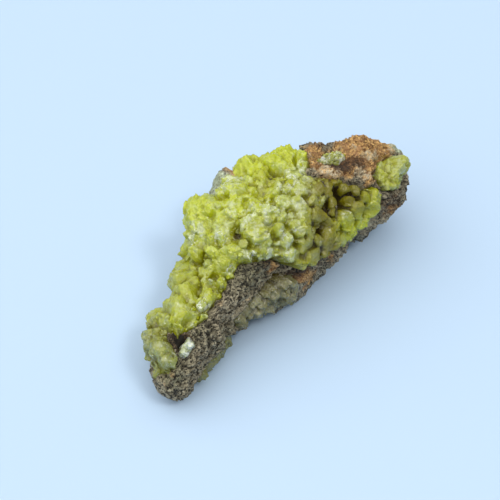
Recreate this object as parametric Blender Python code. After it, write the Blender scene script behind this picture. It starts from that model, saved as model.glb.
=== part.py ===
"""A small cabinet specimen of pyromorphite: hexagonal barrel crystals, yellow-green and grown
together into crusts, on one long piece of porous host rock. It lies on a table at z = 0.

+X runs along the specimen from its near tip to its far end, +Z is up, and -Y is the bare front
face of the rock. The origin is at the middle of the specimen's box, on the table. The rock is a loft of smooth sections: at each station along X it has a centre,
a half depth and a height above and below that centre. The angle around a section starts at +Y
(the back) and turns through +Z (the top, 90 degrees) to -Y (the front, 180) and the underside.
"""

import bmesh
import bpy
import numpy as np

MM = 0.001

# Driving dimensions, in millimetres
LENGTH_MINUS = 23.9      # from the station origin to the near tip
LENGTH_PLUS = 20.9       # from the station origin to the far end
TIP_SQUARENESS = 9.0     # how suddenly the sections close at the near tip
END_SQUARENESS = 7.0     # and at the far end
SECTION_POWER = 2.3      # 2 is an ellipse, more is squarer
CRUST_BED = 1.9          # how far the rock lies under the specimen's outer surface below a crust
CRUST_RISE = 0.45        # how far the crust between its crystals lies under that surface
GAP = 0.35               # between the rock and what grows on it
REST_CUT = 0.45          # how much the table flats take off the lowest points
STATION_PITCH = 4.0
BOX_MIDDLE = (-1.5, -0.209)  # x and y of the middle of the specimen's box, which becomes the origin

# Stations along X, one every STATION_PITCH from -24: centre y, centre z, half depth, up, down
STATIONS = np.array([
    (-1.3, 3.6, 3.4, 4.6, 3.5),
    (0.1, 4.2, 4.4, 5.1, 4.2),
    (0.5, 4.8, 4.7, 5.2, 4.4),
    (0.9, 5.4, 4.9, 5.2, 4.6),
    (1.5, 6.2, 6.1, 6.2, 5.4),
    (1.8, 7.0, 8.3, 7.8, 6.6),
    (1.4, 7.5, 9.0, 8.0, 7.3),
    (0.8, 7.9, 8.8, 7.4, 7.6),
    (-0.4, 8.1, 8.1, 6.9, 7.4),
    (-2.0, 8.4, 7.3, 6.3, 7.0),
    (-3.6, 8.6, 6.5, 5.6, 6.2),
    (-4.6, 8.7, 5.6, 4.8, 5.4),
    (-5.0, 8.8, 5.0, 4.2, 5.0),
])
STATION_START = -24.0

# Broad swells of the whole specimen: x, angle, width (mm), height (mm)
SWELLS = [
    (-1.8, 206.0, 3.0, 1.1),     # above the ledge
    (-5.6, 36.0, 2.6, 0.8),      # left shoulder
    (-1.6, 34.0, 2.2, -0.9),     # slope between the shoulder and the spur
    (-20.6, 30.0, 1.9, 0.6),     # knob of the near tip
]

# Rises and hollows of the bare rock: x, angle, width (mm), height (mm)
ROCK_FEATURES = [
    (1.4, 45.0, 1.9, 1.1),       # quartz spur at the back left
    (10.4, 84.0, 2.0, -0.6),     # saddle before the orange end
    (16.2, 84.0, 2.4, 0.7),      # orange shoulder
    (13.2, 60.0, 2.2, 0.5),
    (14.0, 184.0, 2.4, 0.6),     # brown foot of the far end
    (-19.2, 106.0, 1.1, -1.1),   # hollow by the near tip
    (-5.2, 172.0, 1.6, -1.0),    # hollow above the ledge
    (0.0, 196.0, 2.0, 0.5),      # rusty edge
    (-11.0, 150.0, 2.4, 0.4),
    (4.0, 330.0, 4.0, 0.8),
    (12.0, 355.0, 3.2, -0.8),
]

# Broken faces of the bare rock: x and angle of the place struck, how deep the face lies there
# (mm), how it leans along X and around the section (degrees), and its reach along X (mm)
BREAKS = [
    (-17.0, 172.0, 0.4, -4.0, 8.0, 6.0),
    (-9.0, 176.0, 0.5, -12.0, -6.0, 6.0),
    (-2.5, 178.0, 0.5, -4.0, 12.0, 5.0),
    (4.5, 224.0, 0.6, 8.0, 0.0, 5.0),
    (-22.6, 150.0, 0.5, -38.0, 0.0, 4.0),
    (-15.5, 330.0, 0.8, -10.0, 10.0, 6.0),
    (-6.0, 350.0, 1.2, -26.0, 6.0, 6.0),
    (1.0, 4.0, 1.3, 4.0, -8.0, 7.5),
    (3.0, 318.0, 1.6, 2.0, 6.0, 9.0),
    (10.5, 16.0, 1.2, 16.0, 6.0, 6.0),
    (12.5, 345.0, 1.4, 16.0, -10.0, 7.0),
    (17.0, 20.0, 1.0, 26.0, 10.0, 5.0),
    (18.5, 300.0, 1.0, 30.0, 0.0, 5.5),
]

# Each crust: one or more lobes, whose rows give x and the two angles between which it grows;
# then the spacing of its crystals, their least and greatest radius, how far they stand out,
# their lean, how far they keep from its edge, and the seed
CRUSTS = {
    "main_crust": dict(
        lobes=[
            [(-18.6, 34, 88), (-17.2, 14, 104), (-15.5, 8, 112), (-13.5, 8, 111), (-10.3, 8, 109),
             (-8.8, 8, 112), (-7.5, 10, 117), (-6.2, 14, 128), (-5.0, 20, 136), (-4.0, 30, 147),
             (-3.0, 46, 158), (-1.6, 62, 166), (0.5, 64, 172), (2.2, 56, 175), (3.4, 38, 177),
             (4.6, 26, 178), (5.8, 26, 178)],
            [(4.0, 30, 92), (6.4, 24, 91), (7.6, 28, 84), (8.8, 36, 72), (9.8, 44, 60)],
            [(3.0, 118, 176), (5.0, 112, 179), (7.0, 116, 180), (8.6, 128, 178),
             (10.0, 142, 170), (11.3, 150, 162)],
        ],
        pitch=1.5, spacing=2.6, radius=(0.9, 1.35), stand=(0.25, 0.9), lean=24,
        margin=0.95, seed=4),
    "tip_cluster": dict(
        lobes=[[(-22.6, 36, 92), (-21.8, 2, 103), (-20.9, -14, 106), (-20.1, -12, 97),
                (-19.5, 4, 74)]],
        pitch=0.8, spacing=1.7, radius=(0.85, 1.25), stand=(0.4, 0.9), lean=18,
        margin=0.75, seed=11),
    "end_cluster": dict(
        lobes=[[(13.1, 138, 153), (14.3, 130, 161), (15.8, 126, 163), (17.0, 128, 159),
                (18.0, 136, 151)]],
        pitch=0.8, spacing=1.7, radius=(0.8, 1.15), stand=(0.4, 1.0), lean=20,
        margin=0.75, seed=5),
    "ledge_crust": dict(
        lobes=[[(-11.3, 170, 184), (-10.2, 165, 194), (-8.6, 162, 200), (-6.8, 163, 207),
                (-5.4, 162, 207), (-4.4, 167, 203), (-3.7, 175, 194)]],
        pitch=0.9, spacing=1.8, radius=(0.7, 1.05), stand=(0.3, 0.8), lean=22,
        margin=0.75, seed=8),
    "underside_crust": dict(
        lobes=[[(-19.6, 208, 232), (-17.8, 199, 248), (-14.6, 197, 250), (-12.6, 204, 240),
                (-11.4, 211, 228)]],
        pitch=0.9, spacing=1.9, radius=(0.7, 1.1), stand=(0.1, 0.5), lean=18,
        margin=0.75, seed=2),
    "saddle_cluster": dict(
        lobes=[[(10.3, 77, 87), (11.2, 70, 94), (12.4, 70, 94), (13.4, 77, 87)]],
        pitch=0.7, spacing=1.4, radius=(0.5, 0.75), stand=(0.2, 0.5), lean=22,
        margin=0.7, seed=6),
    "cavity_crystals": dict(
        lobes=[[(-21.0, 116, 129), (-20.3, 111, 132), (-19.2, 111, 132), (-18.4, 116, 128)]],
        pitch=0.6, spacing=1.25, radius=(0.45, 0.75), stand=(0.5, 1.1), lean=30,
        margin=0.6, seed=3),
}

# Large crystals of the main crust that stand apart: x, angle, lean along X and around the
# section (degrees), radius, how far they stand out (mm)
LARGE_CRYSTALS = [
    (-5.4, 42.0, -14, -10, 1.8, 0.9),     # blunt shoulder block
    (-7.6, 58.0, -10, 0, 1.3, 0.9),
    (-9.2, 57.0, -18, 6, 1.2, 1.1),       # square yellow blocks down the arm
    (-8.5, 86.0, -10, 0, 1.5, 1.6),
    (-10.5, 80.0, -14, 0, 1.25, 1.1),
    (-11.6, 97.0, 20, -16, 0.8, 1.8),     # small upright barrel
    (-12.5, 66.0, -14, 0, 1.2, 0.9),
    (-14.5, 102.0, -10, 8, 1.15, 1.2),    # frosty block by the bare rock
    (-17.0, 98.0, -14, 0, 1.2, 0.8),
    (-5.9, 108.0, 62, 38, 0.85, 3.4),     # long crystal lying along the ridge
    (-6.2, 119.0, 40, 20, 0.75, 1.9),
    (-2.8, 124.0, 24, 20, 0.95, 1.3),
    (-3.0, 76.0, -10, -8, 1.5, 1.0),
    (-0.6, 80.0, 0, -8, 1.3, 1.0),
    (5.6, 60.0, 0, -14, 1.6, 1.2),        # crest
    (2.6, 76.0, -6, -14, 1.3, 1.1),
    (4.8, 92.0, 8, 0, 1.25, 1.2),         # pale group beside the brown rock
    (3.4, 111.0, 0, 6, 1.3, 1.1),
    (0.4, 110.0, -6, 6, 1.2, 1.0),
    (6.5, 123.0, 12, 0, 0.85, 0.9),       # olive barrels of the flank
    (7.8, 132.0, 14, 4, 0.85, 0.8),
    (5.3, 137.0, 4, 4, 0.9, 0.8),
    (7.5, 145.0, 10, 6, 0.85, 0.7),
    (5.4, 157.0, 0, 12, 1.2, 1.1),        # bright yellow block at the lower edge
    (7.6, 169.0, 8, 6, 1.1, 0.9),
    (9.6, 150.0, 14, 4, 1.05, 0.9),
    (0.7, 152.0, -6, 8, 0.95, 0.9),
]

# Base colour, roughness, metallic
LOOKS = {
    "matrix": ((0.20, 0.16, 0.12), 0.9, 0.0),
    "main_crust": ((0.48, 0.52, 0.08), 0.35, 0.0),
    "tip_cluster": ((0.42, 0.48, 0.14), 0.4, 0.0),
    "end_cluster": ((0.46, 0.52, 0.16), 0.4, 0.0),
    "ledge_crust": ((0.42, 0.42, 0.24), 0.45, 0.0),
    "underside_crust": ((0.36, 0.40, 0.12), 0.45, 0.0),
    "saddle_cluster": ((0.52, 0.52, 0.36), 0.4, 0.0),
    "cavity_crystals": ((0.70, 0.72, 0.66), 0.2, 0.0),
}


def along(column, x):
    """One column of the station table, read smoothly at x."""
    values = STATIONS[:, column]
    place = (np.asarray(x, float) - STATION_START) / STATION_PITCH
    low = np.clip(np.floor(place).astype(int), 0, len(values) - 2)
    part = place - low
    a, b, c, d = (values[np.clip(low + k, 0, len(values) - 1)] for k in (-1, 0, 1, 2))
    rise = (2 * a - 5 * b + 4 * c - d) * part**2 + (3 * b - a - 3 * c + d) * part**3
    return 0.5 * (2 * b + (c - a) * part + rise)


def turn(degrees):
    """Degrees brought to -180 .. 180."""
    return (np.asarray(degrees, float) + 180) % 360 - 180


def smooth(value):
    value = np.clip(value, 0, 1)
    return value * value * (3 - 2 * value)


def swell(features, x, angle, reach):
    """The summed height of round features, each a bell of its own width on the surface."""
    rise = 0
    for at, degrees, width, height in features:
        side = turn(np.degrees(angle) - degrees) * np.pi / 180 * reach
        rise = rise + height * np.exp(-((x - at)**2 + side**2) / width**2)
    return rise


def outer_radius(x, angle):
    """Distance from a section's centre to the specimen's outer surface."""
    depth, up, down = along(2, x), along(3, x), along(4, x)
    height = np.where(np.sin(angle) > 0, up, down)
    power = SECTION_POWER
    sides = (np.abs(np.cos(angle)) / depth)**power + (np.abs(np.sin(angle)) / height)**power
    middle = (LENGTH_PLUS - LENGTH_MINUS) / 2
    half = (LENGTH_PLUS + LENGTH_MINUS) / 2
    along_length = (x - middle) / half
    squareness = np.where(along_length > 0, END_SQUARENESS, TIP_SQUARENESS)
    close = np.clip(1 - np.abs(along_length)**squareness, 0, 1)**0.5
    plain = sides**(-1 / power)
    return (plain + swell(SWELLS, x, angle, plain)) * close


def inside_lobe(rows, x, degrees, reach):
    """How far (mm) a point lies inside the edge of a lobe; outside it is negative."""
    low = np.interp(x, rows[:, 0], rows[:, 1])
    high = np.interp(x, rows[:, 0], rows[:, 2])
    off = turn(degrees - (low + high) / 2)
    beside = ((high - low) / 2 - np.abs(off)) * np.pi / 180 * reach
    return np.minimum(beside, np.minimum(x - rows[0, 0], rows[-1, 0] - x))


def bed_depth(x, angle):
    """How far the rock is sunk below the outer surface, to bed the crusts in it."""
    depth = np.zeros(np.broadcast(x, angle).shape)
    around = np.degrees(angle)
    reach = np.maximum(outer_radius(x, angle), 1.0)
    for crust in CRUSTS.values():
        small = 0.85 if len(crust["lobes"]) == 1 else 1.0
        for lobe in crust["lobes"]:
            inside = inside_lobe(np.array(lobe, float), x, around, reach)
            depth = np.maximum(depth, CRUST_BED * small * smooth((inside + 1.3) / 1.9))
    return depth


def relief(x, angle):
    """Low relief of the broken rock, in mm: a few crossing waves and the named features."""
    rise = 0.16 * np.sin(1.15 * x + 2.0 * np.sin(2 * angle + 0.4))
    rise = rise + 0.14 * np.sin(0.72 * x - 3 * angle + 1.0)
    rise = rise + 0.12 * np.sin(2.1 * x + 5 * angle)
    reach = np.maximum(outer_radius(x, angle), 1.0)
    return rise + swell(ROCK_FEATURES, x, angle, reach)


def broken(x, angle, radius):
    """The radius cut back to the broken faces, each a plane that reaches a little way along X."""
    y, z = along(0, x), along(1, x)
    for at, degrees, depth, lean_x, lean_around, reach in BREAKS:
        struck = np.radians(degrees)
        start = float(outer_radius(at, struck)) - depth
        facing = struck + np.radians(lean_around)
        slope = np.radians(lean_x)
        normal = (np.sin(slope), np.cos(slope) * np.cos(facing), np.cos(slope) * np.sin(facing))
        from_y = float(along(0, at)) + start * np.cos(struck) - y
        from_z = float(along(1, at)) + start * np.sin(struck) - z
        gap = normal[0] * (at - x) + normal[1] * from_y + normal[2] * from_z
        gap = gap + 2.5 * np.maximum(np.abs(x - at) / reach - 0.75, 0)**2 * reach
        toward = normal[1] * np.cos(angle) + normal[2] * np.sin(angle)
        limit = np.where(toward > 0.25, gap / np.maximum(toward, 0.25), 99.0)
        radius = np.minimum(radius, np.maximum(limit, radius * 0.55))
    return radius


def rock_radius(x, angle):
    body = outer_radius(x, angle)
    bare = broken(x, angle, body + relief(x, angle) * np.minimum(body / 4, 1))
    return np.maximum(np.minimum(bare, body + 3.0) - bed_depth(x, angle), 0.3)


def place(x, angle, radius):
    """The point at this angle and distance from the section's centre."""
    y = along(0, x) + radius * np.cos(angle)
    z = along(1, x) + radius * np.sin(angle)
    return np.stack([x + 0 * y, y, z], -1)


def new_object(name, points, faces):
    """A mesh object from points in millimetres, moved so that it rests on z = 0 at the origin."""
    mesh = bpy.data.meshes.new(name)
    flat = np.asarray(points, float).reshape(-1, 3) - [*BOX_MIDDLE, REST_CUT]
    flat = flat * MM
    mesh.from_pydata(flat.tolist(), [], [[int(i) for i in face] for face in faces])
    mesh.update()
    item = bpy.data.objects.new(name, mesh)
    bpy.context.scene.collection.objects.link(item)
    return item


def face_out(item):
    """Makes every face of a closed mesh point outward."""
    work = bmesh.new()
    work.from_mesh(item.data)
    bmesh.ops.recalc_face_normals(work, faces=work.faces)
    if work.calc_volume(signed=True) < 0:
        bmesh.ops.reverse_faces(work, faces=work.faces)
    work.to_mesh(item.data)
    work.free()


def loft(rings, sides):
    """Points and faces of the rock: rings around X, closed by a point at each end."""
    middle = (LENGTH_PLUS - LENGTH_MINUS) / 2
    half = (LENGTH_PLUS + LENGTH_MINUS) / 2
    step = np.pi * (np.arange(1, rings + 1)) / (rings + 1)
    x = (middle - half * np.cos(step) * (1 - 0.12 * np.sin(step)**2))[:, None]
    angle = (2 * np.pi * np.arange(sides) / sides)[None, :]
    points = place(x, angle, rock_radius(x, angle))
    near = points[0].mean(0) - [0.25, 0, 0]
    far = points[-1].mean(0) + [0.25, 0, 0]
    everything = np.vstack([points.reshape(-1, 3), near, far])
    faces = []
    for ring in range(rings - 1):
        for side in range(sides):
            a = ring * sides + side
            b = ring * sides + (side + 1) % sides
            faces.append((a, b, b + sides, a + sides))
    last = (rings - 1) * sides
    for side in range(sides):
        following = (side + 1) % sides
        faces.append((rings * sides, following, side))
        faces.append((rings * sides + 1, last + side, last + following))
    return everything, faces


def cut_flats(item):
    """Cuts the lowest points to true flats at z = 0, where the specimen rests."""
    work = bmesh.new()
    work.from_mesh(item.data)
    geometry = work.verts[:] + work.edges[:] + work.faces[:]
    bmesh.ops.bisect_plane(work, geom=geometry, dist=1e-7, plane_co=(0, 0, 0),
                           plane_no=(0, 0, 1), clear_inner=True)
    open_edges = [edge for edge in work.edges if edge.is_boundary]
    bmesh.ops.holes_fill(work, edges=open_edges, sides=0)
    bmesh.ops.recalc_face_normals(work, faces=work.faces)
    work.to_mesh(item.data)
    work.free()


def swollen(item, distance):
    """A copy of the mesh moved outward by the same distance all over."""
    work = bmesh.new()
    work.from_mesh(item.data)
    work.normal_update()
    moves = [vert.normal * (vert.calc_shell_factor() * distance * MM) for vert in work.verts]
    for vert, move in zip(work.verts, moves):
        vert.co += move
    copy = bpy.data.meshes.new(item.name + "_swollen")
    work.to_mesh(copy)
    work.free()
    cutter = bpy.data.objects.new(item.name + "_swollen", copy)
    bpy.context.scene.collection.objects.link(cutter)
    cutter.hide_render = True
    cutter.display_type = "WIRE"
    return cutter


def pad(name, rows, pitch, drop=0.0):
    """The crust between its crystals: a closed patch, its underside sunk into the rock."""
    rings = max(int(round((rows[-1, 0] - rows[0, 0]) / pitch)), 4) + 1
    widest = np.radians(rows[:, 2] - rows[:, 1]) * outer_radius(rows[:, 0], np.pi / 2)
    across = max(int(round(widest.max() / pitch)), 4) + 1
    x = np.linspace(rows[0, 0], rows[-1, 0], rings)[:, None]
    low = np.radians(np.interp(x, rows[:, 0], rows[:, 1]))
    high = np.radians(np.interp(x, rows[:, 0], rows[:, 2]))
    share = np.linspace(0, 1, across)[None, :]
    angle = low + (high - low) * share
    edge = np.minimum(np.minimum(share, 1 - share) * (high - low) * 6, 2.2)
    ends = np.minimum(np.abs(x - rows[0, 0]), np.abs(rows[-1, 0] - x))
    edge = smooth(np.minimum(edge, ends + 0.25) / 1.4)
    lumps = 0.22 * np.sin(2.3 * x + 3.1 * np.sin(4 * angle)) * np.sin(9 * angle + 0.8 * x)
    top = outer_radius(x, angle) - CRUST_RISE - drop - 0.3 * (1 - edge) + lumps * edge
    outside = place(x + 0 * angle, angle, top)
    inside = place(x + 0 * angle, angle, np.maximum(top - 3.0, 0.4))
    points = np.vstack([outside.reshape(-1, 3), inside.reshape(-1, 3)])
    faces = []
    count = rings * across
    for ring in range(rings - 1):
        for side in range(across - 1):
            a = ring * across + side
            quad = (a, a + 1, a + 1 + across, a + across)
            faces.append(quad)
            faces.append(tuple(count + i for i in reversed(quad)))
    rim = [i for i in range(across)]
    rim += [ring * across + across - 1 for ring in range(1, rings)]
    rim += [(rings - 1) * across + side for side in range(across - 2, -1, -1)]
    rim += [ring * across for ring in range(rings - 2, 0, -1)]
    for a, b in zip(rim, rim[1:] + rim[:1]):
        faces.append((b, a, a + count, b + count))
    item = new_object(name, points, faces)
    face_out(item)
    return item


def barrel(centre, axis, spin, radius, length):
    """Points and faces of one hexagonal barrel, a little narrower at its foot and flat top."""
    axis = axis / np.linalg.norm(axis)
    side = np.cross(axis, (0.3, 0.9, 0.2))
    side = side / np.linalg.norm(side)
    other = np.cross(axis, side)
    angle = spin + np.pi / 3 * np.arange(6)
    ring = np.cos(angle)[:, None] * side + np.sin(angle)[:, None] * other
    foot = centre - axis * 1.6
    top = centre + axis * length
    points = np.vstack([foot + ring * radius * 0.9, top + ring * radius * 0.86])
    faces = [tuple(range(5, -1, -1)), tuple(range(6, 12))]
    for k in range(6):
        after = (k + 1) % 6
        faces.append((k, after, after + 6, k + 6))
    return points, faces


def seats(rows, spacing, margin, draw):
    """Where the crystals stand: a jittered grid over the lobe, clear of its edges."""
    found = []
    x = rows[0, 0] + margin
    odd = 0
    while x < rows[-1, 0] - margin:
        low = np.interp(x, rows[:, 0], rows[:, 1])
        high = np.interp(x, rows[:, 0], rows[:, 2])
        reach = float(outer_radius(x, np.radians((low + high) / 2)))
        arc = np.radians(high - low) * reach - 2 * margin
        if arc > 0:
            count = max(int(round(arc / spacing)), 1)
            for k in range(count):
                share = (k + 0.5 + 0.25 * (-1)**odd) / count
                along_arc = margin + arc * min(share, 1.0) + draw.uniform(-0.3, 0.3)
                degrees = low + np.degrees(along_arc / reach)
                found.append((x + draw.uniform(-0.35, 0.35), np.radians(degrees)))
        x += spacing * 0.88
        odd += 1
    return found


def apart(one, other):
    """The distance over the surface between two seats, in mm."""
    reach = float(outer_radius(one[0], one[1]))
    side = float(turn(np.degrees(one[1] - other[1]))) * np.pi / 180 * reach
    return float(np.hypot(one[0] - other[0], side))


def stance(x, angle):
    """The seat of a crystal, the way straight out, the way along X and the way around."""
    here = place(x, angle, float(outer_radius(x, angle)) - CRUST_RISE)
    ahead = place(x + 0.2, angle, float(outer_radius(x + 0.2, angle)) - CRUST_RISE)
    beside = place(x, angle + 0.05, float(outer_radius(x, angle + 0.05)) - CRUST_RISE)
    along_x = (ahead - here) / np.linalg.norm(ahead - here)
    around = (beside - here) / np.linalg.norm(beside - here)
    normal = np.cross(around, along_x)
    outward = np.array([0, np.cos(angle), np.sin(angle)])
    normal = normal * np.sign(normal @ outward) / np.linalg.norm(normal)
    return here, normal, along_x, around


def crystals(name, crust):
    """All the crystals of one crust, still as separate closed shapes in one mesh."""
    draw = np.random.default_rng(crust["seed"])
    found = []
    for lobe in crust["lobes"]:
        rows = np.array(lobe, float)
        for seat in seats(rows, crust["spacing"], crust["margin"], draw):
            if all(apart(seat, other) > crust["spacing"] * 0.7 for other in found):
                found.append(seat)
    shapes = []
    large = LARGE_CRYSTALS if name == "main_crust" else []
    for x, degrees, lean_x, lean_around, radius, stand in large:
        here, normal, along_x, around = stance(x, np.radians(degrees))
        lean = np.tan(np.radians(lean_x)) * along_x + np.tan(np.radians(lean_around)) * around
        shapes.append(barrel(here, normal + lean, 0.03 * degrees, radius, stand))
    for x, angle in found:
        here, normal, along_x, around = stance(x, angle)
        near = [apart((x, angle), (other[0], np.radians(other[1]))) / other[4] for other in large]
        crowded = min(near, default=9) < 0.85
        lean = np.tan(np.radians(crust["lean"])) * draw.uniform(-1, 1, 3)
        radius = draw.uniform(*crust["radius"])
        stand = draw.uniform(*crust["stand"])
        spin = draw.uniform(0, 1)
        if not crowded:
            shapes.append(barrel(here, normal + lean, spin, radius, stand))
    points, faces, count = [], [], 0
    for some, sides in shapes:
        points.append(some)
        faces += [tuple(i + count for i in side) for side in sides]
        count += len(some)
    item = new_object(name + "_crystals", np.vstack(points), faces)
    item.hide_render = True
    item.display_type = "WIRE"
    return item


def settle(item):
    """Applies the modifiers and clears slivers and any loose crumb of crystal."""
    graph = bpy.context.evaluated_depsgraph_get()
    mesh = bpy.data.meshes.new_from_object(item.evaluated_get(graph))
    item.modifiers.clear()
    old = item.data
    item.data = mesh
    bpy.data.meshes.remove(old)
    work = bmesh.new()
    work.from_mesh(mesh)
    bmesh.ops.remove_doubles(work, verts=work.verts, dist=5e-6)
    bmesh.ops.dissolve_degenerate(work, dist=4e-6, edges=work.edges)
    bmesh.ops.triangulate(work, faces=work.faces)
    keep_largest(work)
    bmesh.ops.recalc_face_normals(work, faces=work.faces)
    work.to_mesh(mesh)
    work.free()


def keep_largest(work):
    """Removes every shell but the biggest."""
    left = set(work.faces)
    shells = []
    while left:
        start = left.pop()
        shell, edge_of = {start}, [start]
        while edge_of:
            face = edge_of.pop()
            for edge in face.edges:
                for other in edge.link_faces:
                    if other in left:
                        left.discard(other)
                        shell.add(other)
                        edge_of.append(other)
        shells.append(shell)
    shells.sort(key=len)
    spare = [face for shell in shells[:-1] for face in shell]
    if spare:
        bmesh.ops.delete(work, geom=spare, context="FACES")
        loose = [vert for vert in work.verts if not vert.link_faces]
        bmesh.ops.delete(work, geom=loose, context="VERTS")


def combine(item, operation, other, self_crossing=False):
    step = item.modifiers.new(operation.lower(), "BOOLEAN")
    step.operation = operation
    step.solver = "EXACT"
    step.use_self = self_crossing
    step.object = other


def finish(item, name):
    colour, roughness, metallic = LOOKS[name]
    material = bpy.data.materials.new(name)
    material.use_nodes = True
    shader = material.node_tree.nodes["Principled BSDF"]
    shader.inputs["Base Color"].default_value = (*colour, 1)
    shader.inputs["Roughness"].default_value = roughness
    shader.inputs["Metallic"].default_value = metallic
    item.data.materials.clear()
    item.data.materials.append(material)


def make_rock():
    points, faces = loft(rings=40, sides=32)
    rock = new_object("matrix", points, faces)
    face_out(rock)
    cutter = swollen(rock, GAP)
    cut_flats(rock)
    finish(rock, "matrix")
    return rock, cutter


def make_crust(name, crust, cutter):
    lobes = [np.array(lobe, float) for lobe in crust["lobes"]]
    item = pad(name, lobes[0], crust["pitch"])
    others = [pad(name + "_lobe", lobe, crust["pitch"], 0.17) for lobe in lobes[1:]]
    grown = crystals(name, crust)
    for other in others:
        other.hide_render = True
        other.display_type = "WIRE"
        combine(item, "UNION", other)
    combine(item, "UNION", grown, self_crossing=True)
    combine(item, "DIFFERENCE", cutter)
    settle(item)
    finish(item, name)
    for tool in [*others, grown]:
        bpy.data.objects.remove(tool)
    return item


def main():
    for item in list(bpy.data.objects):
        bpy.data.objects.remove(item)
    rock, cutter = make_rock()
    total = sum(len(face.vertices) - 2 for face in rock.data.polygons)
    for name, crust in CRUSTS.items():
        item = make_crust(name, crust, cutter)
        total += len(item.data.polygons)
        print(name, len(item.data.polygons), "triangles")
    print("in all", total, "triangles")
    bpy.data.objects.remove(cutter)


main()
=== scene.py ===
# %% [markdown]
# # A pyromorphite specimen
# One long piece of porous host rock carries crusts of yellow-green pyromorphite, a lead phosphate
# that grows as stubby hexagonal barrels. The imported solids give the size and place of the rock
# and of each crust. This lesson gives every one of them its fine surface: a pored, rust-stained
# rock, and crusts whose barrels have grown into one another, with small free ones among them.

# %% Load the fixed frame
from math import cos, pi, radians, sin

import bpy
import numpy as np
from mathutils import Matrix


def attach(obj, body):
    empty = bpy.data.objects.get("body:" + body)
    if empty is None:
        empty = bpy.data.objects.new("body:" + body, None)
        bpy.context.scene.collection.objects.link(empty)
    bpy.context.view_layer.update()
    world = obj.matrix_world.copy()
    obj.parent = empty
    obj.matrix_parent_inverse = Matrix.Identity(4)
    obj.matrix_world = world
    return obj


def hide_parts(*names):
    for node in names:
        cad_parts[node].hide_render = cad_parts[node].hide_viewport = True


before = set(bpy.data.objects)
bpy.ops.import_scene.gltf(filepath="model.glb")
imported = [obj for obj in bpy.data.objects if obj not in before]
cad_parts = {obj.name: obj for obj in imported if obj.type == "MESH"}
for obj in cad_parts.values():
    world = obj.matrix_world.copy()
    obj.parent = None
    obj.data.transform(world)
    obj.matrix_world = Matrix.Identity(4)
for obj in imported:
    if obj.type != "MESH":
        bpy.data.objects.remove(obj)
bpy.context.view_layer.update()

scene = bpy.context.scene
MM = 0.001
print("solids:", ", ".join(sorted(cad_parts)))

# %% [markdown]
# ## The specimen as a loft
# A lump of rock has no axis of its own, but this one is long, so it can be described as a loft:
# at stations along X a centre, a half depth and two heights. Between stations the numbers are
# read with a Catmull-Rom spline, which passes through each of them. A point on the surface then
# has two coordinates, x and the angle around the section (0 is the back, 90 the top, 180 the
# front, 270 the underside), and everything that grows on the rock can be placed with the same two.

# %% Stations of the loft, in millimetres
LENGTH_MINUS, LENGTH_PLUS = 23.9, 20.9     # from x = 0 to the near tip and to the far end
TIP_SQUARENESS, END_SQUARENESS = 9.0, 7.0  # how suddenly the sections close there
SECTION_POWER = 2.3      # 2 is an ellipse, more is squarer
CRUST_BED = 1.9          # how far the rock lies under the outer surface below a crust
CRUST_RISE = 0.45        # how far the crust between its crystals lies under that surface
REST_CUT = 0.45          # how much the table flats take off the lowest points
BOX_MIDDLE = (-1.5, -0.209)  # x and y of the middle of the whole box, which becomes the origin
STATION_START, STATION_PITCH = -24.0, 4.0
# centre y, centre z, half depth, up, down
STATIONS = np.array([
    (-1.3, 3.6, 3.4, 4.6, 3.5),
    (0.1, 4.2, 4.4, 5.1, 4.2),
    (0.5, 4.8, 4.7, 5.2, 4.4),
    (0.9, 5.4, 4.9, 5.2, 4.6),
    (1.5, 6.2, 6.1, 6.2, 5.4),
    (1.8, 7.0, 8.3, 7.8, 6.6),
    (1.4, 7.5, 9.0, 8.0, 7.3),
    (0.8, 7.9, 8.8, 7.4, 7.6),
    (-0.4, 8.1, 8.1, 6.9, 7.4),
    (-2.0, 8.4, 7.3, 6.3, 7.0),
    (-3.6, 8.6, 6.5, 5.6, 6.2),
    (-4.6, 8.7, 5.6, 4.8, 5.4),
    (-5.0, 8.8, 5.0, 4.2, 5.0),
])
# broad swells of the whole specimen: x, angle, width, height
SWELLS = [
    (-1.8, 206, 3.0, 1.1), (-5.6, 36, 2.6, 0.8), (-1.6, 34, 2.2, -0.9), (-20.6, 30, 1.9, 0.6),
]
# rises and hollows of the bare rock: x, angle, width, height
ROCK_FEATURES = [
    (1.4, 45, 1.9, 1.1), (10.4, 84, 2.0, -0.6), (16.2, 84, 2.4, 0.7), (13.2, 60, 2.2, 0.5),
    (14.0, 184, 2.4, 0.6), (-19.2, 106, 1.1, -1.1), (-5.2, 172, 1.6, -1.0), (0.0, 196, 2.0, 0.5),
    (-11.0, 150, 2.4, 0.4), (4.0, 330, 4.0, 0.8), (12.0, 355, 3.2, -0.8), (14.6, 66, 2.6, 0.6),
    (8.0, 196, 3.0, -0.6), (-18.9, 107, 0.8, -1.0), (-19.8, 94, 0.7, -0.5), (15.6, 100, 1.4, 0.5),
    (13.4, 84, 1.2, 0.4), (10.6, 99, 1.2, -0.7), (9.0, 80, 0.9, 0.4), (12.6, 127, 0.9, 0.4),
    (14.4, 118, 0.8, -0.4), (-14.5, 150, 1.2, 0.35), (-8.4, 146, 1.3, 0.4), (-11.6, 178, 1.0, 0.5),
    (-6.6, 158, 0.9, -0.4), (-17.0, 160, 1.1, 0.4), (12.6, 190, 1.4, -0.5),
]
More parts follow.
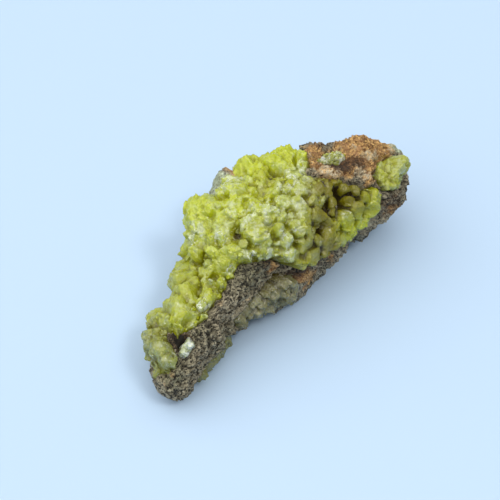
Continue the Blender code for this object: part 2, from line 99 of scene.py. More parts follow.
# broken faces: x, angle, depth, lean along X and around (degrees), reach along X
BREAKS = [
    (-17.0, 172, 0.4, -4, 8, 6.0), (-9.0, 176, 0.5, -12, -6, 6.0), (-2.5, 178, 0.5, -4, 12, 5.0),
    (4.5, 224, 0.6, 8, 0, 5.0), (-22.6, 150, 0.5, -38, 0, 4.0), (-15.5, 330, 0.8, -10, 10, 6.0),
    (-6.0, 350, 1.2, -26, 6, 6.0), (1.0, 4, 1.3, 4, -8, 7.5), (3.0, 318, 1.6, 2, 6, 9.0),
    (10.5, 16, 1.2, 16, 6, 6.0), (12.5, 345, 1.4, 16, -10, 7.0), (17.0, 20, 1.0, 26, 10, 5.0),
    (18.5, 300, 1.0, 30, 0, 5.5),
]
print(len(STATIONS), "stations over", LENGTH_MINUS + LENGTH_PLUS, "mm")

# %% Read the loft
def along(column, x):
    """One column of the station table at x, by a Catmull-Rom spline through its values."""
    values = STATIONS[:, column]
    where = (np.asarray(x, float) - STATION_START) / STATION_PITCH
    low = np.clip(np.floor(where).astype(int), 0, len(values) - 2)
    part = where - low
    a, b, c, d = (values[np.clip(low + k, 0, len(values) - 1)] for k in (-1, 0, 1, 2))
    rise = (2 * a - 5 * b + 4 * c - d) * part**2 + (3 * b - a - 3 * c + d) * part**3
    return 0.5 * (2 * b + (c - a) * part + rise)


def turned(degrees):
    """Degrees brought to -180 .. 180."""
    return (np.asarray(degrees, float) + 180) % 360 - 180


def smooth(value):
    """0 to 1 with a soft start and end: 3t^2 - 2t^3."""
    value = np.clip(value, 0, 1)
    return value * value * (3 - 2 * value)


def bell(x, angle, reach, at, degrees, width):
    """exp(-(distance over the surface / width)^2): 1 at a named place, fading to 0 around it."""
    side = turned(np.degrees(angle) - degrees) * pi / 180 * reach
    return np.exp(-((x - at)**2 + side**2) / width**2)


def bells(features, x, angle, reach):
    """The sum of the features' bells, each times its height."""
    rise = 0.0
    for at, degrees, width, height in features:
        rise = rise + height * bell(x, angle, reach, at, degrees, width)
    return rise


def outer_radius(x, angle):
    """Centre to outer surface: a superellipse (|cos|/a)^p + (|sin|/b)^p = r^-p, closed at the
    ends by (1 - |t|^n)^0.5 and raised by the swells."""
    depth, up, down = along(2, x), along(3, x), along(4, x)
    height = np.where(np.sin(angle) > 0, up, down)
    p = SECTION_POWER
    plain = ((np.abs(np.cos(angle)) / depth)**p + (np.abs(np.sin(angle)) / height)**p)**(-1 / p)
    t = (x - (LENGTH_PLUS - LENGTH_MINUS) / 2) / ((LENGTH_PLUS + LENGTH_MINUS) / 2)
    power = np.where(t > 0, END_SQUARENESS, TIP_SQUARENESS)
    close = np.clip(1 - np.abs(t)**power, 0, 1)**0.5
    return (plain + bells(SWELLS, x, angle, plain)) * close


def reach_at(x, angle):
    """Millimetres over the surface for each radian around it, and never less than one."""
    return np.maximum(outer_radius(x, angle), 1.0)


def place(x, angle, radius):
    """The point at an angle and distance from the section's centre, in the frame, in mm."""
    y = along(0, x) + radius * np.cos(angle) - BOX_MIDDLE[1]
    z = along(1, x) + radius * np.sin(angle) - REST_CUT
    return np.stack(np.broadcast_arrays(x - BOX_MIDDLE[0], y, z), -1)


top, bottom = outer_radius(0, pi / 2), outer_radius(0, 3 * pi / 2)
print("middle section", round(float(top + bottom), 1), "mm tall")

# %% [markdown]
# ## Noise worked out as arrays
# Broken rock needs detail at every size. Two kinds of noise give it: value noise, which blends
# random numbers from the corners of a grid of cubes, and cell noise, which scatters one point in
# each cube and measures the distance to the nearest. Cell noise makes pores, grains and
# crystal-like lumps. Both are computed for all points at once with numpy.

# %% Noise helpers
def random_at(cells, seed):
    """A repeatable random number from 0 to 1 for each whole-number cell, by mixing its bits."""
    cells = cells.astype(np.int64)
    mixed = cells[..., 0] * 73856093 ^ cells[..., 1] * 19349663 ^ cells[..., 2] * 83492791
    mixed = (mixed + seed * 2654435761) & 0xFFFFFFFF
    mixed = ((mixed ^ (mixed >> 15)) * 2246822519) & 0xFFFFFFFF
    mixed = ((mixed ^ (mixed >> 13)) * 3266489917) & 0xFFFFFFFF
    return (mixed ^ (mixed >> 16)) / 0xFFFFFFFF


def value_noise(points, size, seed):
    """Random corner numbers of a grid of cubes, blended smoothly inside each: -1 to 1."""
    scaled = points / size
    low = np.floor(scaled)
    part = smooth(scaled - low)
    total = 0.0
    for i in (0, 1):
        for j in (0, 1):
            for k in (0, 1):
                weight = (part[..., 0] if i else 1 - part[..., 0])
                weight = weight * (part[..., 1] if j else 1 - part[..., 1])
                weight = weight * (part[..., 2] if k else 1 - part[..., 2])
                total = total + weight * random_at(low + [i, j, k], seed)
    return 2 * total - 1


def fractal(points, size, octaves, seed):
    """Value noise summed at halving sizes and heights."""
    return sum(value_noise(points, size / 2**k, seed + k) / 2**k for k in range(octaves))


def cell_noise(points, size, seed):
    """Distance to the nearest and second nearest scattered point, the nearest one's number, and
    the height there of a plane tilted at random about that point."""
    scaled = points / size
    low = np.floor(scaled)
    nearest = np.full(scaled.shape[:-1], 9.0)
    second = nearest.copy()
    number = nearest.copy()
    slant = nearest.copy()
    for i in (-1, 0, 1):
        for j in (-1, 0, 1):
            for k in (-1, 0, 1):
                cell = low + [i, j, k]
                spot = [random_at(cell, seed + axis) for axis in (0, 1, 2)]
                away = cell + np.stack(spot, -1) - scaled
                distance = np.linalg.norm(away, axis=-1)
                closer = distance < nearest
                second = np.where(closer, nearest, np.minimum(second, distance))
                number = np.where(closer, random_at(cell, seed + 3), number)
                tilt = [random_at(cell, seed + axis) - 0.5 for axis in (4, 5, 6)]
                slant = np.where(closer, (away * np.stack(tilt, -1)).sum(-1), slant)
                nearest = np.where(closer, distance, nearest)
    return nearest, second, number, slant


probe = np.random.default_rng(1).uniform(0, 20, (500, 3))
print("value noise spans", np.ptp(value_noise(probe, 2.0, 1)).round(2))

# %% [markdown]
# ## Where the crusts grow
# Each crust covers one or more lobes of the surface. They could be painted on the mesh as a mask,
# but rows of numbers are easier to read and to change. A lobe is a list of rows: an x and the two
# angles between which the crystals grow there. The rock is sunk a little under each lobe, so the
# crust sits in it and not on top of it.

# %% The crusts' lobes
LOBES = {
    "main_crust": [
        [(-18.6, 34, 88), (-17.2, 14, 104), (-15.5, 8, 112), (-13.5, 8, 111), (-10.3, 8, 109),
         (-8.8, 8, 112), (-7.5, 10, 117), (-6.2, 14, 128), (-5.0, 20, 136), (-4.0, 30, 147),
         (-3.0, 34, 158), (-1.6, 41, 166), (0.5, 47, 172), (2.2, 46, 175), (3.4, 36, 177),
         (4.6, 26, 178), (5.8, 26, 178)],
        [(4.0, 30, 92), (6.4, 24, 91), (7.6, 28, 84), (8.8, 36, 72), (9.8, 44, 60)],
        [(3.0, 118, 176), (5.0, 112, 179), (7.0, 116, 180), (8.6, 128, 178),
         (10.0, 142, 170), (11.3, 150, 162)],
    ],
    "tip_cluster": [[(-22.6, 36, 96), (-21.8, 2, 110), (-20.9, -14, 114), (-20.4, -12, 90),
                     (-19.6, 2, 74), (-18.6, 12, 68), (-17.9, 20, 58)]],
    "end_cluster": [[(13.1, 138, 153), (14.3, 130, 161), (15.8, 126, 163), (17.0, 128, 159),
                     (18.0, 136, 151)]],
    "ledge_crust": [[(-11.3, 175, 185), (-10.2, 172, 194), (-8.6, 171, 200), (-6.8, 171, 207),
                     (-5.4, 168, 207), (-4.4, 172, 203), (-3.7, 178, 194)]],
    "underside_crust": [[(-19.6, 208, 232), (-17.8, 199, 248), (-14.6, 197, 250),
                         (-12.6, 204, 240), (-11.4, 211, 228)]],
    "saddle_cluster": [[(10.3, 77, 87), (11.2, 70, 94), (12.4, 70, 94), (13.4, 77, 87)]],
    "cavity_crystals": [[(-20.2, 117, 122), (-19.8, 116, 125), (-19.3, 114, 124),
                         (-18.9, 115, 120)]],
}
LOBES = {name: [np.array(lobe, float) for lobe in lobes] for name, lobes in LOBES.items()}


def inside_lobe(rows, x, degrees, reach):
    """How far in mm a point lies inside a lobe's edge: the least of the distances to its two
    angles and its two ends. Outside it is negative."""
    low = np.interp(x, rows[:, 0], rows[:, 1])
    high = np.interp(x, rows[:, 0], rows[:, 2])
    off = turned(degrees - (low + high) / 2)
    beside = ((high - low) / 2 - np.abs(off)) * pi / 180 * reach
    return np.minimum(beside, np.minimum(x - rows[0, 0], rows[-1, 0] - x))


def inside_crusts(names, x, angle):
    """The same for several crusts at once: the deepest of all their lobes."""
    reach, degrees = reach_at(x, angle), np.degrees(angle)
    found = [inside_lobe(rows, x, degrees, reach) for name in names for rows in LOBES[name]]
    return np.max(np.broadcast_arrays(*found), 0)


BED_MARGIN, BED_SLOPE = 1.3, 1.9    # how far the bed runs past a crust's edge; its rim's width
SMALL_BED = 0.85         # depth of a smaller crust's bed, as a share of the main crust's


def bed_depth(x, angle):
    """How far the rock is sunk: the bed's depth under a crust, falling smoothly to none just
    beyond its edge, and the deeper of the two where beds meet."""
    small = [name for name in LOBES if name != "main_crust"]
    main_share, small_share = (
        smooth((inside_crusts(names, x, angle) + BED_MARGIN) / BED_SLOPE)
        for names in (["main_crust"], small))
    return np.maximum(CRUST_BED * main_share, SMALL_BED * CRUST_BED * small_share)


print({name: len(lobes) for name, lobes in LOBES.items()})

# %% [markdown]
# ## The rock
# The rock could be sculpted, or displaced by a texture. Here it is one function of x and angle:
# the outer surface, less the bed of the crusts, with named rises and hollows, cut back to planes
# where it was broken, and roughened by noise. The grid is denser on the bare front face, where
# the pores show. Vertices that would lie under the table are brought up to it, which makes the
# small flats it rests on.

# %% Broad shape of the rock
FACE_FLAT, FACE_CURL = 0.75, 2.5    # share of its reach over which a broken face is flat; its curl
GLANCING = 0.25          # a ray that meets a face at less than this cosine misses it
DEEPEST_FACE = 0.55      # share of the radius that a broken face leaves at least
NO_FACE = 99.0           # the distance to a face that a ray misses
THIN_ROCK = 4.0          # below this radius the relief gets lower
HIGHEST_RELIEF = 3.0     # how far the relief may stand above the outer surface
THINNEST_ROCK = 0.3      # the least radius that is left anywhere


def broken(x, angle, radius):
    """The radius cut back to the broken faces: along each ray the distance to a plane, which is
    (the plane's distance along its normal) / (the cosine between ray and normal)."""
    y, z = along(0, x), along(1, x)
    for at, degrees, depth, lean_x, lean_around, reach in BREAKS:
        struck = radians(degrees)
        start = float(outer_radius(at, struck)) - depth
        facing = struck + radians(lean_around)
        slope = radians(lean_x)
        normal = (sin(slope), cos(slope) * cos(facing), cos(slope) * sin(facing))
        from_y = float(along(0, at)) + start * cos(struck) - y
        from_z = float(along(1, at)) + start * sin(struck) - z
        gap = normal[0] * (at - x) + normal[1] * from_y + normal[2] * from_z
        gap = gap + FACE_CURL * np.maximum(np.abs(x - at) / reach - FACE_FLAT, 0)**2 * reach
        toward = normal[1] * np.cos(angle) + normal[2] * np.sin(angle)
        limit = np.where(toward > GLANCING, gap / np.maximum(toward, GLANCING), NO_FACE)
        radius = np.minimum(radius, np.maximum(limit, radius * DEEPEST_FACE))
    return radius


def rock_radius(x, angle):
    """The rock's broad shape: outer surface + three crossing sine waves + rises and hollows, cut
    back to the broken faces, less the crusts' bed."""
    body = outer_radius(x, angle)
    waves = 0.16 * np.sin(1.15 * x + 2.0 * np.sin(2 * angle + 0.4))
    waves = waves + 0.14 * np.sin(0.72 * x - 3 * angle + 1.0) + 0.12 * np.sin(2.1 * x + 5 * angle)
    waves = waves + bells(ROCK_FEATURES, x, angle, np.maximum(body, 1.0))
    bare = broken(x, angle, body + waves * np.minimum(body / THIN_ROCK, 1))
    return np.maximum(np.minimum(bare, body + HIGHEST_RELIEF) - bed_depth(x, angle), THINNEST_ROCK)


front, under_crust = rock_radius(np.zeros(2), np.array([pi, pi / 2]))
print("rock radius at x = 0:", round(front, 1), "mm in front,", round(under_crust, 1), "mm on top")

# %% A mesh from arrays
def signed_volume(points, faces):
    """Six times the enclosed volume is the sum of corner triple products."""
    a, b, c = (points[faces[:, k]] for k in range(3))
    return np.einsum("ij,ij->", a, np.cross(b, c)) / 6


def make_piece(name, points, quads, triangles, values=None, soft=True):
    """One mesh object from points in mm and arrays of four- and three-sided faces. The values
    are named numbers, one a point, that the finishes read."""
    split = np.vstack([quads[:, [0, 1, 2]], quads[:, [0, 2, 3]], triangles])
    if signed_volume(points, split) < 0:
        quads, triangles = quads[:, ::-1], triangles[:, ::-1]
    corners = np.concatenate([quads.ravel(), triangles.ravel()]).astype(np.int32)
    starts = np.concatenate([np.arange(len(quads)) * 4,
                             len(quads) * 4 + np.arange(len(triangles)) * 3]).astype(np.int32)
    mesh = bpy.data.meshes.new(name)
    mesh.vertices.add(len(points))
    mesh.vertices.foreach_set("co", (points * MM).astype(np.float32).ravel())
    mesh.loops.add(len(corners))
    mesh.loops.foreach_set("vertex_index", corners)
    mesh.polygons.add(len(starts))
    mesh.polygons.foreach_set("loop_start", starts)
    mesh.polygons.foreach_set("use_smooth", np.full(len(starts), soft))
    for label, numbers in (values or {}).items():
        layer = mesh.attributes.new(label, "FLOAT", "POINT")
        layer.data.foreach_set("value", np.broadcast_to(numbers, len(points)).astype(np.float32))
    mesh.update(calc_edges=True)
    item = bpy.data.objects.new(name, mesh)
    scene.collection.objects.link(item)
    print(name, len(split), "triangles")
    return item


def tube_faces(rings, sides):
    """Quads of rings joined one to the next, and the two fans that close the ends."""
    ring, side = np.meshgrid(np.arange(rings - 1), np.arange(sides), indexing="ij")
    a = ring * sides + side
    b = ring * sides + (side + 1) % sides
    quads = np.stack([a, b, b + sides, a + sides], -1).reshape(-1, 4)
    k = np.arange(sides)
    after = (k + 1) % sides
    near = np.stack([np.full(sides, rings * sides), after, k], -1)
    last = (rings - 1) * sides
    far = np.stack([np.full(sides, rings * sides + 1), last + k, last + after], -1)
    return quads, np.vstack([near, far])


print("a six-sided tube of five rings has", [len(faces) for faces in tube_faces(5, 6)], "faces")

# %% [markdown]
# The fine surface is added in three sizes: rubble of one to three millimetres, grains of half a
# millimetre, and pores, which are the hollows of a fine fractal, with a vug at the centre of a
# few large cells. A Displace modifier could do it with textures, but the same arrays are wanted
# as numbers on the vertices, so that the finish paints shade into a pore and tints a grain
# exactly where the shape has one.

# %% Places of the stains: x, angle, width, strength
RUST_SPOTS = [
    (16.4, 80, 2.6, 1.0), (15.9, 109, 1.8, 1.0), (11.1, 138, 0.9, 0.8), (10.4, 66, 1.8, 0.7),
    (8.6, 90, 1.1, 0.7), (8.8, 104, 2.0, 0.9), (10.2, 114, 1.6, 0.8), (13.2, 96, 2.0, 0.7),
    (13.8, 124, 1.4, 0.9), (12.3, 132, 0.8, 0.9), (2.2, 43, 1.0, 0.7), (-5.1, 148, 0.9, 0.9),
    (-2.2, 180, 1.2, 1.0), (-1.3, 166, 0.8, 0.6), (0.3, 168, 0.9, 0.7), (2.6, 182, 1.2, 0.5),
    (13.0, 190, 2.0, 0.5), (-0.4, 198, 1.3, 0.9), (18.4, 40, 3.5, 0.6), (14.0, 20, 3.0, 0.4),
    (-21.8, 118, 1.0, 0.2),
]
BROWN_SPOTS = [
    (10.5, 101, 1.7, 1.3), (9.8, 112, 1.0, 1.0), (12.9, 138, 0.9, 0.7), (12.6, 112, 1.1, 0.8),
    (13.4, 178, 3.0, 0.7), (12.0, 62, 1.4, 0.5), (0.8, 186, 1.6, 0.5), (-18.9, 106, 0.9, 1.4),
    (-19.6, 94, 1.0, 1.1), (-3.0, 172, 1.2, 0.9), (-1.6, 174, 1.0, 0.8), (-5.6, 139, 0.6, 1.3),
]
PALE_SPOTS = [
    (11.3, 127, 1.1, 0.9), (8.0, 106, 1.0, 1.1), (8.8, 114, 0.8, 0.8), (9.3, 72, 1.2, 0.5),
    (17.6, 116, 1.4, 0.6), (14.4, 110, 1.1, 0.9), (9.6, 92, 0.8, 0.9), (-11.0, 164, 2.0, 0.5),
    (-13.4, 134, 2.0, 0.35), (13.6, 90, 1.0, 0.4), (10.6, 196, 1.1, 0.9), (12.4, 202, 1.2, 0.9),
    (14.2, 206, 1.3, 0.8),
]
QUARTZ_SPOTS = [
    (-0.8, 44, 2.2, 1.0), (0.4, 34, 1.8, 0.5), (-3.0, 26, 1.6, 0.4), (18.6, 96, 1.6, 0.5),
    (19.9, 124, 1.2, 0.9), (19.4, 108, 1.0, 0.7),
]
GREEN_SPOTS = [
    (-22.2, 104, 1.5, 0.7), (-8.6, 124, 2.2, 0.5), (-6.4, 140, 2.0, 0.4), (-14.0, 190, 3.0, 0.4),
    (-17.0, 120, 1.6, 0.4), (-21.5, 140, 1.4, 0.3),
]
print(sum(map(len, (RUST_SPOTS, BROWN_SPOTS, PALE_SPOTS, QUARTZ_SPOTS, GREEN_SPOTS))), "spots")

# %% The grid of the rock
RINGS, SIDES = 410, 240
FRONT = (95, 235)        # the angles of the bare front face
FRONT_SHARE = 0.55       # share of the points around that lie on it
RING_EVENNESS = 0.12     # how much closer the middle rings come than a cosine would set them


def rock_grid(rings, sides):
    """x of each ring, closer together at the two ends by a cosine, and the angles around, which
    are closer together on the front."""
    step = pi * np.arange(1, rings + 1) / (rings + 1)
    half = (LENGTH_PLUS + LENGTH_MINUS) / 2
    even = 1 - RING_EVENNESS * np.sin(step)**2
    x = (LENGTH_PLUS - LENGTH_MINUS) / 2 - half * np.cos(step) * even
    front = int(sides * FRONT_SHARE)
    angle = np.concatenate([np.linspace(*FRONT, front, endpoint=False),
                            np.linspace(FRONT[1], FRONT[0] + 360, sides - front, endpoint=False)])
    return x[:, None], np.radians(angle)[None, :]


print("rings and points around:", RINGS, SIDES)

# %% The rock's fine surface
# the sizes in mm of what is added, and how far each rises or sinks at most
RUBBLE, CHIPS, LUMPS, GRAINS, SPONGE, VUGS, FACETS = 2.8, 0.8, 1.15, 0.42, 0.36, 1.7, 0.8
RUBBLE_RISE, CHIP_RISE, LUMP_RISE, FACET_RISE, QUARTZ_RISE = 0.38, 0.10, 0.60, 0.5, 0.6
GRAIN_RISE, EARTHY_GRAIN_RISE = 0.20, 0.22
PORE_DEPTH, VUG_DEPTH = 0.36, 0.45
EARTHY_END = [(14.0, 90, 6.5, 1.3)]  # the crumbly limonite end: x, angle, width, strength
END_POINT = [0.15, 0, 0]  # how far the closing point of either end stands beyond the last ring


def rock_surface(rings, sides):
    """Points of the rock and the numbers its finish reads. The height over the broad shape is
    rubble + chips + lumps + grains + facets - pores - vugs, less where the rock is thin."""
    x, angle = rock_grid(rings, sides)
    radius = rock_radius(x, angle)
    flat = place(x, angle, radius)
    reach = np.maximum(radius, 1.0)

    def stains_and_shade(spots, most=1):
        """The sum of the spots' bells, kept between 0 and `most`."""
        return np.clip(bells(spots, x, angle, reach), 0, most)

    rust = bells(RUST_SPOTS, x, angle, reach) + 0.25 * fractal(flat, 1.6, 3, 11)
    earthy = smooth(bells(EARTHY_END, x, angle, reach))
    quartz = stains_and_shade(QUARTZ_SPOTS)
    open_rock = (1 - np.clip(bed_depth(x, angle) / CRUST_BED, 0, 1)) * (1 - 0.8 * quartz)
    bent = flat + 0.25 * fractal(flat, 1.1, 2, 5)[..., None]
    lumps, _, _, _ = cell_noise(bent, LUMPS, 31)
    grains, gap, tint, _ = cell_noise(bent, GRAINS, 41)
    wide, _, deep, _ = cell_noise(bent, VUGS, 61)
    facets, _, _, broken_face = cell_noise(flat, FACETS, 71)
    pore = smooth((fractal(bent, SPONGE, 2, 51) - 0.16) / 0.26) * open_rock
    vug = smooth((0.36 - wide) / 0.16) * (deep > 0.72) * open_rock
    height = RUBBLE_RISE * fractal(flat, RUBBLE, 4, 21) + CHIP_RISE * fractal(flat, CHIPS, 3, 25)
    height = height + LUMP_RISE * earthy * (0.6 - lumps)
    height = height + (GRAIN_RISE + EARTHY_GRAIN_RISE * earthy) * (0.5 - grains) * open_rock
    height = height - PORE_DEPTH * pore - VUG_DEPTH * vug
    height = height + QUARTZ_RISE * quartz * (0.6 - facets) + FACET_RISE * broken_face
    height = height * np.clip(radius / 3, 0.2, 1)
    points = place(x, angle, radius + height)
    points[..., 2] = np.maximum(points[..., 2], 0.0)
    ends = np.stack([points[0].mean(0) - END_POINT, points[-1].mean(0) + END_POINT])
    # pore and seam mark where the finish paints shade; the others are stains and tints
    values = {
        "pore": np.clip(pore + vug, 0, 1), "grain": tint, "seam": smooth((gap - grains) / 0.35),
        "rust": np.clip(rust, 0, 1), "brown": stains_and_shade(BROWN_SPOTS, 2), "pale": stains_and_shade(PALE_SPOTS),
        "quartz": quartz, "green": stains_and_shade(GREEN_SPOTS),
    }
    for label, numbers in values.items():
        values[label] = np.append(np.broadcast_to(numbers, radius.shape).ravel(), [0, 0])
    return np.vstack([points.reshape(-1, 3), ends]), values


rock_points, rock_values = rock_surface(RINGS, SIDES)
rock = make_piece("rock", rock_points, *tube_faces(RINGS, SIDES), rock_values)
print("rock", np.ptp(rock_points, 0).round(1), "mm")
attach(rock, "root")
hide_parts("matrix")

# %% [markdown]
# ## Colour by place
# Pyromorphite changes colour over one specimen: saturated yellow on the crest, pale and frosted in
# the middle, clear olive on the flank. Each region could have a material of its own, but then
# every border would show. Instead each crystal takes four numbers from the named places around
# it: how yellow, how olive, how frosted, and how large it grows there.

# %% Tones of the crystals
# x, angle, width, yellow, olive, frost, size
TONES = [
    (-12.0, 75, 4.5, 0.72, 0.28, 0.08, 1.55),
    (-5.5, 45, 2.4, 0.90, 0.00, 0.05, 1.7),
    (-7.3, 50, 1.2, 0.10, 0.00, 1.10, 0.70),
    (-8.5, 88, 1.6, 0.75, 0.00, 0.10, 1.30),
    (-7.1, 85, 0.9, 0.35, 0.00, 0.80, 1.00),
    (-14.5, 102, 1.0, 0.20, 0.00, 1.00, 1.00),
    (5.6, 60, 3.0, 1.00, 0.00, 0.00, 1.50),
    (0.5, 86, 1.6, 1.00, 0.25, 0.00, 0.95),
    (3.4, 80, 1.2, 0.95, 0.40, 0.00, 0.90),
    (-2.4, 76, 2.2, 0.65, 0.00, 0.25, 1.20),
    (4.8, 95, 1.6, 0.15, 0.00, 0.75, 1.15),
    (2.8, 112, 2.0, 0.20, 0.05, 0.60, 1.15),
    (-1.5, 102, 2.4, 0.40, 0.00, 0.50, 1.05),
    (-0.6, 58, 1.7, 0.30, 0.00, 0.55, 1.10),
    (-4.5, 116, 1.8, 0.45, 0.20, 0.40, 1.20),
    (-3.6, 137, 1.5, 0.15, 0.10, 0.60, 0.60),
    (-0.8, 126, 2.0, 0.25, 0.20, 0.35, 0.70),
    (5.6, 132, 3.1, 0.40, 1.00, 0.00, 0.95),
    (3.9, 131, 0.75, 0.10, 0.00, 1.00, 1.00),
    (8.0, 145, 2.6, 0.50, 0.85, 0.00, 0.90),
    (5.5, 157, 1.9, 1.60, 0.00, 0.00, 1.10),
    (7.9, 171, 1.8, 1.20, 0.00, 0.00, 0.90),
    (10.0, 152, 1.4, 1.10, 0.10, 0.00, 0.95),
    (1.0, 158, 2.6, 0.50, 0.75, 0.00, 0.90),
    (-1.5, 150, 1.6, 0.35, 0.45, 0.15, 0.80),
    (-20.8, 60, 2.6, 0.15, 0.38, 0.25, 1.20),
    (-17.5, 85, 1.8, 0.60, 0.15, 0.20, 1.20),
    (15.6, 145, 2.4, 0.50, 0.05, 0.10, 1.00),
    (-5.6, 185, 4.0, 0.15, 0.35, 0.25, 0.90),
    (-15.5, 225, 4.0, 0.15, 0.45, 0.05, 0.90),
    (11.8, 82, 1.5, 0.10, 0.10, 0.70, 0.60),
    (-19.6, 121, 1.2, 0.00, 0.00, 1.00, 0.80),
]
FAR_TONE, FAR_WEIGHT = (0.6, 0.1, 0.15, 0.9), 1e-4  # holds where no named place is near


def tone_at(x, angle):
    """Yellow, olive, frost and size: the mean of the named places, each weighted by its bell."""
    reach = reach_at(x, angle)
    total = FAR_WEIGHT
    mixed = np.array(FAR_TONE)[:, None] * FAR_WEIGHT
    for at, degrees, width, *tone in TONES:
        weight = bell(x, angle, reach, at, degrees, width)
        total = total + weight
        mixed = mixed + np.array(tone)[:, None] * weight
    return mixed / total


print("crest tone", tone_at(np.array([5.6]), np.array([radians(60)])).ravel().round(2))

# %% [markdown]
# ## The intergrown crust
# Most crystals of a crust are not free: they have grown into each other until only a corner, an
# edge or a top shows. Hundreds of separate meshes would look like cobbles, so the crust is one
# surface instead. Each crystal is a hexagonal barrel bounded by planes: six sides, six bevels and
# a top. Over any point of the crust a crystal stands as high as its lowest plane, and the crust
# stands as high as its highest crystal. Taking both with a soft minimum and maximum rounds the
# edges and heals the crystals together.

# %% Rises and hollows of the crusts
# x, angle, width, height
CRUST_FEATURES = [
    (0.0, 90, 1.0, -1.2), (1.9, 86, 0.9, -0.9), (3.7, 80, 1.0, -1.3), (-5.5, 97, 0.8, -1.3),
    (1.9, 147, 1.1, -1.3), (2.7, 103, 0.55, -0.6), (5.6, 58, 2.4, 0.35), (-5.2, 42, 2.2, 0.55),
    (-7.0, 66, 1.3, -0.5), (-9.9, 71, 0.9, -0.7), (-13.2, 88, 0.9, -0.7), (-16.2, 88, 0.8, -0.6),
    (-3.2, 119, 1.6, 0.35), (8.7, 161, 0.8, -0.6), (3.6, 112, 1.4, 0.4), (-1.6, 92, 0.8, -0.5),
    (6.6, 143, 0.7, -0.7), (-2.0, 145, 0.9, -0.5), (-19.6, 92, 0.8, -1.2), (-21.2, 62, 1.5, 0.3),
    (15.4, 154, 0.7, -1.0), (15.6, 160, 0.8, -1.2), (16.4, 138, 1.1, 0.5), (14.3, 146, 1.1, 0.4),
    (-14.5, 15, 4.5, -0.8), (-9.0, 15, 3.5, -0.8), (-21.5, 8, 2.5, -0.8), (2.2, 46, 1.8, -0.6),
    (6.0, 40, 2.5, -0.4), (-5.5, 15, 3.0, -0.4),
]


def crust_relief(x, angle, points):
    """Low waves of the crust and its named rises and hollows."""
    return bells(CRUST_FEATURES, x, angle, reach_at(x, angle)) + 0.28 * fractal(points, 3.2, 2, 67)


# clefts between crystals, painted dark as shade: x, angle, width, darkness
SHADED_CLEFTS = [
    (-5.1, 99, 0.36, 1.5), (-5.5, 97.5, 0.44, 1.8), (-5.9, 96, 0.40, 1.8), (-6.3, 94, 0.30, 1.5),
    (-0.1, 95, 0.22, 0.8), (0.1, 92, 0.24, 0.9), (0.4, 89, 0.20, 0.8), (4.0, 77, 0.24, 0.9),
    (3.6, 78, 0.22, 0.8), (3.2, 79, 0.2, 0.7), (1.9, 147, 0.80, 0.9), (8.7, 160, 0.60, 0.6),
    (-16.3, 92, 0.55, 0.5), (-12.8, 86, 0.45, 0.5), (6.6, 143, 0.60, 0.7), (3.3, 140, 0.50, 0.7),
    (-10.1, 70, 0.50, 0.4), (-19.9, 88, 0.50, 0.8), (15.5, 156, 0.60, 1.6), (2.8, 103, 0.30, 0.6),
    (9.6, 136, 0.60, 0.6), (-7.3, 100, 0.40, 0.6), (-1.2, 148, 0.50, 0.5),
]
# painted highlights: x, angle, width, strength of small white glint spots on the faces
PAINTED_GLINTS = [
    (5.9, 151, 0.40, 1.6), (5.2, 149, 0.30, 1.4), (0.7, 152, 0.30, 1.5), (1.4, 150, 0.25, 1.2),
    (-2.6, 128, 0.30, 1.4), (-9.0, 109, 0.40, 1.8), (-6.4, 121, 0.40, 1.2), (-14.5, 102, 0.60, 1.2),
    (-17.1, 108, 0.30, 1.2), (-7.0, 84, 0.60, 1.0), (7.6, 133, 0.22, 1.0), (5.2, 136, 0.20, 1.0),
    (-1.4, 132, 0.30, 1.0), (-11.6, 98, 0.25, 0.9),
]
# the same for the folds where painted shade makes the crystals a deeper, darker clear yellow
YELLOW_FOLD_SHADES = [
    (0.0, 90, 0.8, 1.0), (1.2, 87, 0.7, 1.0), (2.4, 83, 0.7, 1.0), (3.7, 80, 0.7, 1.0),
    (-5.4, 99, 0.9, 0.9), (-4.8, 104, 0.6, 0.8), (-7.4, 100, 0.5, 0.8), (-9.9, 71, 0.6, 0.7),
    (-13.2, 88, 0.6, 0.7), (-10.6, 58, 0.8, 0.5),
]
print(len(CRUST_FEATURES), "rises and hollows,", len(SHADED_CLEFTS), "clefts,", len(PAINTED_GLINTS), "glints")

# %% [markdown]
# Crystals compete for room, so they are seated like pebbles dropped one by one: candidates are
# tried from the largest to the smallest, and one is kept if it comes no closer to those already
# there than a share of the two radii. A share below one lets them grow into each other.

# %% Seats for crystals
SMALL_BIAS = 2.2         # above one makes small crystals the more common
OLIVE_LEAST = 0.95       # the least radius on the olive flank
NOTHING = (np.empty((0, 3)), np.empty(0))


def pebbles(spot, size, share, taken=NOTHING):
    """The numbers of those kept when each in turn must come no closer to the ones already there
    than a share of the two radii. `taken` gives places and radii that are there from the start."""
    there, radii = taken
    chosen = []
    for k in range(len(spot)):
        apart = np.linalg.norm(there - spot[k], axis=1)
        if np.all(apart > (radii + size[k]) * share):
            there, radii = np.vstack([there, spot[k]]), np.append(radii, size[k])
            chosen.append(k)
    return chosen


